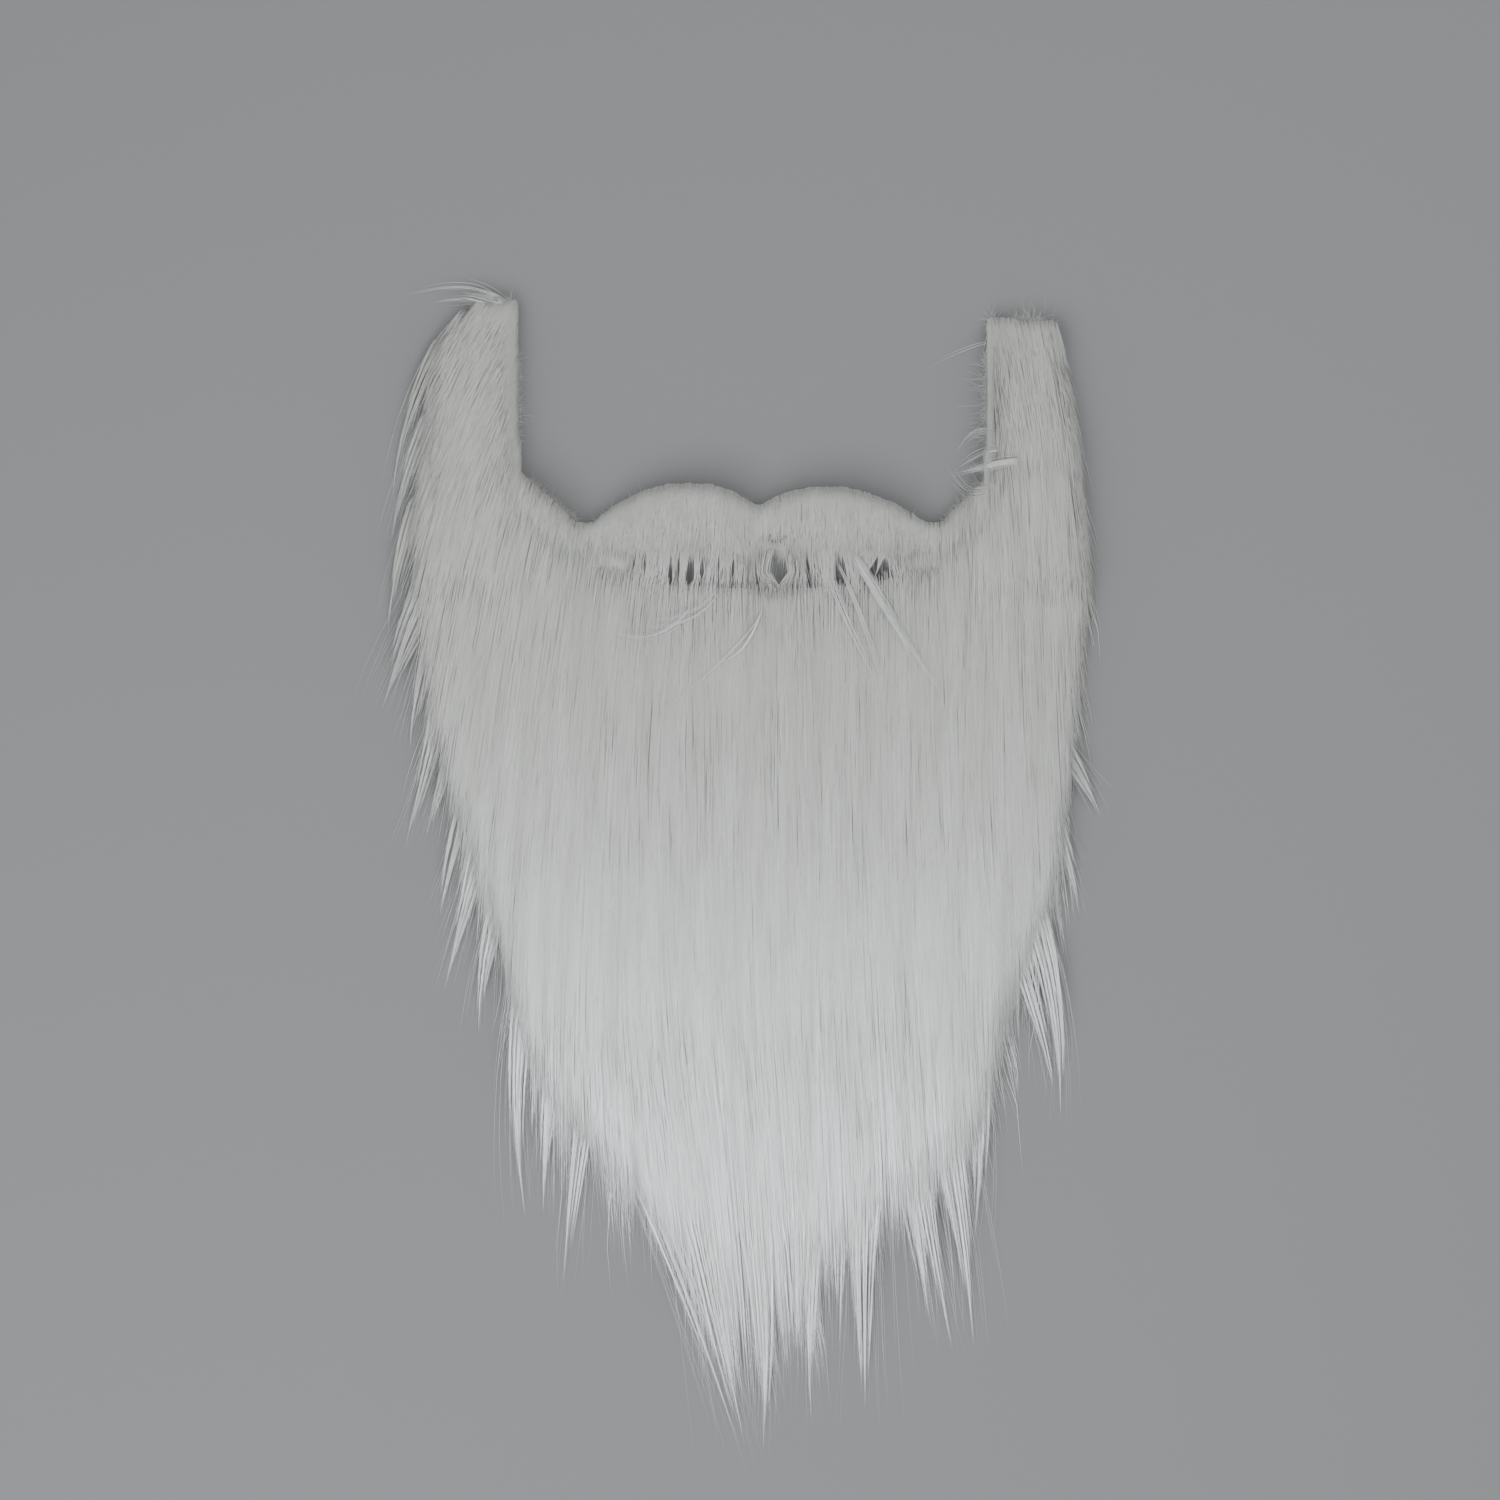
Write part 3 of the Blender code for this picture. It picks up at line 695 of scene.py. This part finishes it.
def curve_through(row, t):
    """Points on a lock's curve, at shares of its length from its root."""
    x0, y0, x1, y1, x2, y2, _ = row
    start, middle, end = np.array((x0, y0)), np.array((x1, y1)), np.array((x2, y2))
    pull = middle * 2 - (start + end) / 2
    t = t[..., None]
    return start * (1 - t) ** 2 + pull * (2 * t * (1 - t)) + end * t**2


def span_of(row):
    """A lock's length from its root to its end, by way of its bend."""
    x0, y0, x1, y1, x2, y2, _ = row
    return math.dist((x0, y0), (x1, y1)) + math.dist((x1, y1), (x2, y2))


def along_lock(row, s):
    """Points at shares of a lock's length: on its curve, and straight back into the pile below 0."""
    x0, y0, x1, y1, x2, y2, _ = row
    first = np.array((x1 - x0, y1 - y0)) - 0.25 * np.array((x2 - x0, y2 - y0))
    first = first / np.linalg.norm(first) * span_of(row)
    return curve_through(row, np.maximum(s, 0)) + np.minimum(s, 0)[..., None] * first


def right_of(centre):
    """The level direction to the right of each path's way, at each of its points."""
    way = np.gradient(centre, axis=1)
    way /= np.linalg.norm(way, axis=2, keepdims=True)
    return np.stack((way[..., 1], -way[..., 0]), -1)


def lock_paths(ground, row, points, strands, lead, root_spread):
    """One lock's strands: they leave the pile in wisps that thin out, and sink to the table."""
    width, span = row[-1], span_of(row)
    lead = min(lead, 0.9 * span) / span * rng.uniform(0.25, 1.0, (strands, 1)) ** 0.7
    wisps = max(4, round(0.6 * width))
    which = rng.integers(0, wisps, strands)
    home = np.linspace(-1, 1, wisps) + rng.uniform(-0.5, 0.5, wisps) / wisps
    ends = 1 - 0.45 * np.abs(home) * rng.uniform(0.2, 1.0, wisps) - rng.uniform(0, 0.12, wisps)
    ends[wisps // 2] = 1.0
    bend = rng.uniform(0.5, 1.1, wisps)[which][:, None]
    end = ends[which][:, None]
    reach = end * (1 - 0.6 * rng.random((strands, 1)) ** 1.7)
    s = np.linspace(0, 1, points)[None] * (reach + lead) - lead
    centre = along_lock(row, s)
    draw = np.where(s < 0, 1 - (root_spread - 1) * s / lead, np.maximum(1 - s, 0) ** bend)
    thin = np.where(s < 0, 1.0, np.maximum(1 - s / end, 0.08) ** 1.3)
    own = rng.normal(0, 0.22, (strands, 1))
    sideways = home[which][:, None] * 0.95 * width / 2 * draw + own * width / wisps * thin
    sideways += rng.normal(0, 0.25, (strands, 1)) * np.sin(3 * s + rng.uniform(0, 6, (strands, 1)))
    return lowered(ground, row, centre + right_of(centre) * sideways[..., None], s, lead)


def loose_paths(ground, row, points, strands, lead):
    """Single fine hairs round a lock, which stray from it and run out at any length."""
    width, span = row[-1], span_of(row)
    lead = min(lead, 0.5 * span) / span * np.ones((strands, 1))
    reach = rng.uniform(0.45, 1.08, (strands, 1))
    s = np.linspace(0, 1, points)[None] * (reach + lead) - lead
    centre = along_lock(row, s)
    sideways = rng.normal(0, 0.8, (strands, 1)) * width / 2 * (0.7 + 0.3 * np.maximum(s, 0))
    sideways += rng.normal(0, 1.6, (strands, 1)) * np.maximum(s, 0) ** 2
    return lowered(ground, row, centre + right_of(centre) * sideways[..., None], s, lead)


def lowered(ground, row, flat, s, lead):
    """Heights for a lock's strands: low inside the pile, over its edge, then down to the table."""
    surface = ground.at(ground.near, flat[..., 0], flat[..., 1])
    layer = rng.uniform(0.15, 1.0, (len(flat), 1))
    ahead = np.clip(s, 0, 1)
    thick = row[-1] * LOCK_FLATNESS * (1 - ahead) ** 0.7 + 0.3
    free = TABLE_CLEARANCE + LOCK_LIFT * (1 - ahead) ** 1.3 + layer * thick
    within = surface * (0.6 + 0.36 * layer) * (0.45 + 0.55 * smoothstep(-1.0, 0.0, s / lead))
    blend = smoothstep(0.0, 0.35, s)
    z = within * (1 - blend) + np.maximum(free, 0.6 * surface * (s < 0.8)) * blend
    return np.concatenate((flat, np.maximum(z, TABLE_CLEARANCE)[..., None]), axis=2)


def locks(ground, look, name, node, rows, points, density, lead, root_spread):
    """All the locks of one piece, with fine loose strands round them."""
    found, sizes, places = [], [], []
    for row in rows:
        strands = int(density * row[-1])
        few = 14 + strands // 6
        found.append(lock_paths(ground, row, points, strands, lead, root_spread))
        found.append(loose_paths(ground, row, points, few, lead))
        sizes.append(rng.uniform(0.16, 0.30, strands))
        sizes.append(rng.uniform(0.08, 0.14, few))
        places.append(np.full(strands + few, (row[1] + row[5]) / 2))
    paths = np.concatenate(found)
    tints = tint_of(paths[:, 0, 0], np.concatenate(places))
    dressed(ribbons(name, paths, np.concatenate(sizes), tints, look), node)


def parted(x, y):
    """The strands' x across the mouth slit, pressed to both sides of its openings."""
    for gap_x, high, low, half, lean in SLIT_GAPS:
        down = (high - y) / (high - low)
        centre = gap_x - lean * (y - (high + low) / 2)
        open_here = half * np.clip(1.3 * down, 0, 1) ** 0.6 * (1 - smoothstep(0.8, 1.15, down))
        open_here *= rng.uniform(0.7, 1.2, (len(x), 1))
        side = np.sign(x[:, 3:4] - centre[:, 3:4])
        away = np.maximum((x - centre) * side, 0)
        wide = 2.2 * half + 1.2
        pressed = open_here + away * (wide - open_here) / wide
        x = np.where(away < wide, centre + side * pressed, x)
    return x


def curtain(ground, look, name, node, x_from, x_to, strands):
    """The moustache's long strands: down across the mouth slit, and on into the chin's pile."""
    x = rng.uniform(x_from, x_to, (strands, 1))
    start = rng.uniform(-5.0, 6.0, (strands, 1))
    length = rng.gamma(1.6, 7.0, (strands, 1))
    over_slit = np.tile(SLIT_ROWS, (strands, 1))
    beyond = SLIT_ROWS[-1] - length * np.array((0.25, 0.6, 1.0))[None]
    y = np.concatenate((start, over_slit, beyond), axis=1)
    down = (start - y) / (start - y[:, -1:])
    lean = 0.004 * (x - PARTING) + rng.normal(0, 0.05, (strands, 1))
    x = parted(x + lean * (start - y) * down, y)
    surface = np.where(y > -6, ground.at(ground.full, x, y), ground.at(ground.wide, x, y))
    over = CURTAIN_HEIGHT * smoothstep(-34, -20, y)
    depth = rng.uniform(-3.0, 0.4, (strands, 1)) * smoothstep(4, -8, y)
    sunk = 0.9 * smoothstep(-19, -28, y)
    z = np.maximum(surface + 0.2 - sunk, over + depth) * smoothstep(-0.15, 0.2, down)
    paths = np.stack((x, y, np.maximum(z, CLOTH_TOP)), axis=2)
    widths = rng.uniform(0.12, 0.24, strands)
    dressed(ribbons(name, paths, widths, tint_of(x[:, 0], y[:, 0]), look), node)


def strays(ground, look):
    """The loose bundles of hair, drawn together at their roots and open at their tips."""
    points = 10
    found = []
    for *row, strands, height in STRAYS:
        reach = rng.uniform(0.6, 1.0, (strands, 1))
        s = np.linspace(0, 1, points)[None] * reach
        centre = curve_through(row, s)
        own = rng.normal(0, 0.4, (strands, 1)) * row[-1]
        sideways = own * (0.5 + 0.5 * np.sin(math.pi * s)) + own * rng.uniform(-1, 1.5, (strands, 1)) * s**2
        flat = centre + right_of(centre) * sideways[..., None]
        surface = ground.at(ground.full, flat[..., 0], flat[..., 1])
        surface = np.where(ground.at(ground.fur, flat[..., 0], flat[..., 1]) > 0.5, surface, 0)
        free = height * (1 - s) ** 0.7 + 0.8 * s
        z = np.maximum(surface + 0.3, free) + rng.uniform(0, 0.5, (strands, 1))
        z *= smoothstep(-0.06, 0.15, s)
        found.append(np.concatenate((flat, np.maximum(z, TABLE_CLEARANCE)[..., None]), axis=2))
    paths = np.concatenate(found)
    tints = rng.integers(4, 8, len(paths))
    dressed(ribbons("stray_hairs", paths, rng.uniform(0.09, 0.17, len(paths)), tints, look))


def fuzz(ground, look):
    """Fine short hairs that stand out from the cut edges of the straps, the cheeks and the lobes."""
    points = 5
    edge = np.linalg.norm(ground.slope, axis=2) > 0.11
    roots = roots_in(ground, edge & (ground.cloth > 0), FUZZ_TOP, FUZZ_FOOT, FUZZ_STRANDS)
    strands = len(roots)
    slope = ground.at(ground.slope, roots[:, 0], roots[:, 1])
    out = unit(-slope[:, ::-1])
    turn = rng.normal(0, 0.7, strands)
    way = np.stack((out[:, 0] - turn * out[:, 1], out[:, 1] + turn * out[:, 0]), 1)
    long = np.where(roots[:, 0] > RIGHT_STRAP, FUZZ_LONG, FUZZ_SHORT)[:, None]
    length = rng.gamma(1.2, long, (strands, 1)) + 0.8
    s = np.linspace(0, 1, points)
    curl = rng.normal(0, 0.5, (strands, 1)) * s[None] ** 2 * length
    side = np.stack((way[:, 1], -way[:, 0]), 1)
    flat = roots[:, None] + way[:, None] * (length * s[None])[..., None] + side[:, None] * curl[..., None]
    z = CLOTH_TOP + rng.uniform(0.5, 3.0, (strands, 1)) * np.sin(2.4 * s)[None]
    paths = np.concatenate((flat, z[..., None]), axis=2)
    widths = rng.uniform(0.06, 0.11, strands)
    dressed(ribbons("edge_fuzz", paths, widths, tint_of(roots[:, 0], roots[:, 1]), look))


def side_hairs(ground, look):
    """Fine single hairs that leave both long sides of the pile."""
    side = (blurred(ground.mat, 4.0) < 0.8) & (ground.mat > 0)
    points = 8
    roots = roots_in(ground, side, WISP_TOP, WISP_FOOT, WISP_STRANDS)
    strands = len(roots)
    paths = combed(ground, roots, rng.uniform(22, 48, strands), points, 1.0)
    slope = ground.at(ground.slope, roots[:, 0], roots[:, 1])
    t = np.linspace(0, 1, points)[None]
    paths[..., 0] -= np.sign(slope[:, 1:]) * rng.uniform(0, 7, (strands, 1)) * t**2
    paths = cut_back(ground, ground.mat, paths, rng.gamma(1.6, 4.2, strands))
    layer = rng.uniform(0.0, 4.0, (strands, 1))
    paths = laid(ground, ground.near, paths, layer, rng.uniform(2, 8, (strands, 1)))
    widths = rng.uniform(0.07, 0.13, strands)
    dressed(ribbons("side_wisps", paths, widths, tint_of(roots[:, 0], roots[:, 1]), look))


def underfur(ground, look, name, mask, heights, step):
    """The pile's dense inside, just under its tips: a closed body whose rim follows the mask's edge."""
    shape = blurred(mask.astype(float), 1.6)
    slope = np.stack(np.gradient(shape, GRID_STEP), axis=-1)
    solid = (shape > UNDERFUR_EDGE)[::step, ::step]
    cells = solid[:-1, :-1] & solid[1:, :-1] & solid[:-1, 1:] & solid[1:, 1:]
    around = np.zeros(solid.shape, int)
    for dj in (0, 1):
        for di in (0, 1):
            around[dj : dj + cells.shape[0], di : di + cells.shape[1]] += cells
    used = around > 0
    index = -np.ones(solid.shape, int)
    index[used] = np.arange(used.sum())
    jj, ii = np.nonzero(used)
    x = ground.low[0] + ii * GRID_STEP * step
    y = ground.low[1] + jj * GRID_STEP * step
    rim = around[used] < 4
    for _ in range(5):
        steep = ground.at(slope, x, y)
        short = UNDERFUR_EDGE - ground.at(shape, x, y)
        move = rim[:, None] * short[:, None] * steep / ((steep**2).sum(1, keepdims=True) + 1e-3)
        move = np.clip(move, -0.4 * step, 0.4 * step)
        x = x + move[:, 1]
        y = y + move[:, 0]
    top = np.maximum(ground.at(heights, x, y), CLOTH_TOP + 0.6)
    upper = np.stack((x, y, top), 1) * MM
    lower = np.stack((x, y, np.full(len(x), CLOTH_TOP + 0.3)), 1) * MM
    faces = []
    total = len(upper)
    for j, i in zip(*np.nonzero(cells)):
        a, b, c, d = index[j, i], index[j, i + 1], index[j + 1, i + 1], index[j + 1, i]
        faces.append((a, b, c, d))
        faces.append((d + total, c + total, b + total, a + total))
        for dj, di, p, q in ((-1, 0, a, b), (0, 1, b, c), (1, 0, c, d), (0, -1, d, a)):
            if not cells[j + dj, i + di]:
                faces.append((q, p, p + total, q + total))
    mesh = bpy.data.meshes.new(name)
    mesh.from_pydata(np.concatenate((upper, lower)).tolist(), [], [tuple(map(int, f)) for f in faces])
    mesh.shade_smooth()
    dressed(placed(name, mesh, look))


def shader_tree(name):
    made = bpy.data.materials.new(name)
    made.use_nodes = True
    tree = made.node_tree
    return made, tree, tree.nodes["Principled BSDF"], tree.nodes["Material Output"]


def fur_look():
    """White hair: its tint by strand, painted shade that darkens it a little towards its root, and light
    shining through it.
    """
    made, tree, shader, output = shader_tree("white_fur_hair")
    uv = tree.nodes.new("ShaderNodeUVMap")
    uv.uv_map = "OFBake"
    split = tree.nodes.new("ShaderNodeSeparateXYZ")
    tree.links.new(uv.outputs["UV"], split.inputs[0])
    ramp = tree.nodes.new("ShaderNodeValToRGB")
    ramp.color_ramp.interpolation = "CONSTANT"
    stops = ramp.color_ramp.elements
    while len(stops) < TINT_STEPS:
        stops.new(0.5)
    # The later stops are whiter and cooler: painted light for the lower beard
    for n in range(TINT_STEPS):
        share = n / (TINT_STEPS - 1)
        stops[n].position = n / TINT_STEPS
        stops[n].color = (*(a + share * (b - a) for a, b in zip(NEUTRAL_TINT, PAINTED_LIGHT_TINT)), 1)
    tree.links.new(split.outputs["X"], ramp.inputs["Fac"])
    # Painted shade: the colour falls to 0.93 over the first half of the strand, towards its root
    depth = tree.nodes.new("ShaderNodeMapRange")
    depth.inputs["From Max"].default_value = 0.5
    depth.inputs["To Min"].default_value = 0.93
    depth.inputs["To Max"].default_value = 1.0
    tree.links.new(split.outputs["Y"], depth.inputs["Value"])
    shade = tree.nodes.new("ShaderNodeVectorMath")
    shade.operation = "SCALE"
    tree.links.new(ramp.outputs["Color"], shade.inputs[0])
    tree.links.new(depth.outputs["Result"], shade.inputs["Scale"])
    tree.links.new(shade.outputs["Vector"], shader.inputs["Base Color"])
    shader.inputs["Roughness"].default_value = 0.5
    shader.inputs["Specular IOR Level"].default_value = 0.35
    through = tree.nodes.new("ShaderNodeBsdfTranslucent")
    tree.links.new(shade.outputs["Vector"], through.inputs["Color"])
    mix = tree.nodes.new("ShaderNodeMixShader")
    mix.inputs["Fac"].default_value = 0.45
    tree.links.new(shader.outputs["BSDF"], mix.inputs[1])
    tree.links.new(through.outputs["BSDF"], mix.inputs[2])
    tree.links.new(mix.outputs["Shader"], output.inputs["Surface"])
    return made


def underfur_look():
    """The dense pile under the tips: fine streaks of grey white that run down the beard, the grey being
    painted shade for the depth of the pile.
    """
    made, tree, shader, _ = shader_tree("white_underfur")
    place = tree.nodes.new("ShaderNodeTexCoord")
    scale = tree.nodes.new("ShaderNodeMapping")
    scale.inputs["Scale"].default_value = (1400, 60, 200)
    noise = tree.nodes.new("ShaderNodeTexNoise")
    noise.inputs["Scale"].default_value = 1.0
    noise.inputs["Detail"].default_value = 3.0
    ramp = tree.nodes.new("ShaderNodeValToRGB")
    # Painted shade: the inside is grey where the hair is white
    ramp.color_ramp.elements[0].color = UNDERFUR_PAINTED_SHADE_DARK
    ramp.color_ramp.elements[1].color = UNDERFUR_PAINTED_SHADE_PALE
    tree.links.new(place.outputs["Object"], scale.inputs["Vector"])
    tree.links.new(scale.outputs["Vector"], noise.inputs["Vector"])
    tree.links.new(noise.outputs["Fac"], ramp.inputs["Fac"])
    tree.links.new(ramp.outputs["Color"], shader.inputs["Base Color"])
    shader.inputs["Roughness"].default_value = 0.8
    return made


def cloth_look():
    """The knitted backing: fine wales and courses in off-white yarn, with painted shade that darkens it
    where the bump sinks between the loops.
    """
    made, tree, shader, _ = shader_tree("knitted_backing")
    place = tree.nodes.new("ShaderNodeTexCoord")
    wales = tree.nodes.new("ShaderNodeTexWave")
    wales.bands_direction = "X"
    wales.inputs["Scale"].default_value = 260
    wales.inputs["Distortion"].default_value = 1.2
    courses = tree.nodes.new("ShaderNodeTexWave")
    courses.bands_direction = "Y"
    courses.inputs["Scale"].default_value = 320
    courses.inputs["Distortion"].default_value = 1.5
    loops = tree.nodes.new("ShaderNodeMath")
    loops.operation = "MULTIPLY"
    ramp = tree.nodes.new("ShaderNodeValToRGB")
    ramp.color_ramp.elements[0].color = KNIT_PAINTED_SHADE
    ramp.color_ramp.elements[1].color = KNIT_PALE
    bump = tree.nodes.new("ShaderNodeBump")
    bump.inputs["Strength"].default_value = 0.5
    bump.inputs["Distance"].default_value = 0.0004
    for wave in (wales, courses):
        tree.links.new(place.outputs["Object"], wave.inputs["Vector"])
    tree.links.new(wales.outputs["Fac"], loops.inputs[0])
    tree.links.new(courses.outputs["Fac"], loops.inputs[1])
    # Painted shade: the colour darkens where the bump sinks between the loops
    tree.links.new(loops.outputs["Value"], ramp.inputs["Fac"])
    tree.links.new(loops.outputs["Value"], bump.inputs["Height"])
    tree.links.new(ramp.outputs["Color"], shader.inputs["Base Color"])
    tree.links.new(bump.outputs["Normal"], shader.inputs["Normal"])
    shader.inputs["Roughness"].default_value = 0.9
    return made


def knitted_backing(node, look):
    """The cut of cloth that carries the pile: a copy of the frame's cloth, with the knit's material."""
    mesh = node.data.copy()
    mesh.name = "knitted_cloth"
    mesh.materials.clear()
    made = placed("knitted_cloth", mesh, look)
    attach(made, "root")
    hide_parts("backing_cloth")


def studio():
    """A plain grey table, light that is strongest over the fringe, and the camera straight above."""
    bpy.ops.mesh.primitive_plane_add(size=6.0, location=(0, 0, -0.0002))
    table = bpy.context.object
    table.name = "table"
    look, _, shader, _ = shader_tree("table_paint")
    shader.inputs["Base Color"].default_value = TABLE_GREY
    shader.inputs["Roughness"].default_value = 0.85
    table.data.materials.append(look)
    table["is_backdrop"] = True
    lamps = (
        # name, x, y, z, size, watts, colour
        ("key", -0.30, -0.60, 1.0, 1.0, 5.9, (0.98, 0.99, 1.0)),
        ("fill", 0.45, 0.35, 1.3, 1.2, 4.85, (1.0, 0.995, 0.98)),
    )
    for name, x, y, z, size, watts, colour in lamps:
        light = bpy.data.lights.new(name, "AREA")
        light.size = size
        light.energy = watts
        light.color = colour
        lamp = bpy.data.objects.new(name, light)
        lamp.location = (x, y, z)
        aim = Vector((-0.002, -0.12, 0)) - lamp.location
        lamp.rotation_euler = aim.to_track_quat("-Z", "Y").to_euler()
        bpy.context.scene.collection.objects.link(lamp)
    world = bpy.data.worlds.new("room")
    world.use_nodes = True
    sky = world.node_tree.nodes["Background"]
    sky.inputs["Color"].default_value = (0.99, 1.0, 1.0, 1)
    sky.inputs["Strength"].default_value = ROOM_LIGHT
    bpy.context.scene.world = world
    bpy.context.scene.view_settings.view_transform = "Standard"
    lens = bpy.data.cameras.new("camera")
    lens.sensor_width = SENSOR_WIDTH
    lens.lens = SENSOR_WIDTH * CAMERA_HEIGHT / VIEW_WIDTH
    camera = bpy.data.objects.new("camera", lens)
    camera.location = (VIEW_CENTRE[0], VIEW_CENTRE[1], CAMERA_HEIGHT + 0.01)
    bpy.context.scene.collection.objects.link(camera)
    bpy.context.scene.camera = camera


def moustache(ground, look):
    """The lobes' short pile and the strands across the slit. It gives the lobes' mask."""
    lobes = np.zeros_like(ground.fur, dtype=bool)
    for name, node, *rest in CURTAINS:
        own = (ground.top[node] > 0) & (ground.y > LOBE_FOOT)[:, None]
        lobe = spread(own, 2) & (ground.fur > 0)
        lobes |= own
        pile = node.replace("fur", "pile")
        dressed(nap(ground, look, pile, lobe, lobe, ground.full, *NAPS["lobe"]), node)
        curtain(ground, look, name, node, *rest)
    return lobes


def insides(ground, look, lobes):
    """The dense inside of the long pile, which thins to the fringe, and that of the lobes."""
    carried = (ground.cloth > 0) | (ground.y < OFF_CLOTH_FROM)[:, None]
    dense = (ground.mat > 0) & carried & ~lobes & (ground.y > UNDERFUR_FOOT)[:, None]
    thinned = 0.35 + 0.65 * smoothstep(*UNDERFUR_THINS, ground.y)[:, None]
    heights = np.minimum(blurred(ground.height * ground.mat, 2.2), ground.near) - UNDERFUR_DEPTH
    underfur(ground, look, "underfur", dense, heights * thinned, 3)
    foot = ((ground.y > NOTCH_FOOT) & (ground.y < SLIT_TOP))[:, None]
    filled = closed(ground.fur, NOTCH_CELLS) * foot
    lobes_wide = (spread(lobes.astype(float), 3) > 0) & ((ground.fur > 0) | (filled > 0))
    rounded = ground.full - LOBE_DEPTH - LOBE_ROUNDING * (1 - smoothstep(0.5, 0.95, ground.inside))
    underfur(ground, look, "moustache_underfur", lobes_wide, rounded, 1)


def cut_edges(ground, look, lobes):
    """Short pile at the cut edges and on the straps, and the pile that starts under the slit."""
    carpet = (blurred(ground.cloth, 1.5) > 0.05) & (ground.mat > 0) & ~lobes
    carpet &= ~(ground.side & (ground.y < STRAP_SIDES_TOP)[:, None])
    edges = carpet & ((blurred(ground.fur, 5.0) < 0.86) | (ground.y > STRAP_FOOT)[:, None])
    dressed(nap(ground, look, "edge_pile", edges, ground.mat, ground.full, *NAPS["edge"]))
    lip = carpet & (np.abs(ground.x - LIP_MIDDLE) < LIP_REACH)[None]
    sinking = ground.near + (ground.full - ground.near) * smoothstep(*LIP_SINKS, ground.y)[:, None]
    dressed(nap(ground, look, "lip_pile", lip, ground.mat, sinking, *NAPS["lip"]))


def main():
    clear_scene()
    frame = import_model()
    studio()
    ground = Ground(frame["nodes"])
    look = fur_look()
    inner_look = underfur_look()
    knitted_backing(frame["nodes"]["backing_cloth"], cloth_look())
    for row in FIELDS:
        field(ground, look, *row)
    for row in LOCKS:
        locks(ground, look, *row)
    lobes = moustache(ground, look)
    insides(ground, inner_look, lobes)
    cut_edges(ground, look, lobes)
    strays(ground, look)
    fuzz(ground, look)
    side_hairs(ground, look)


main()
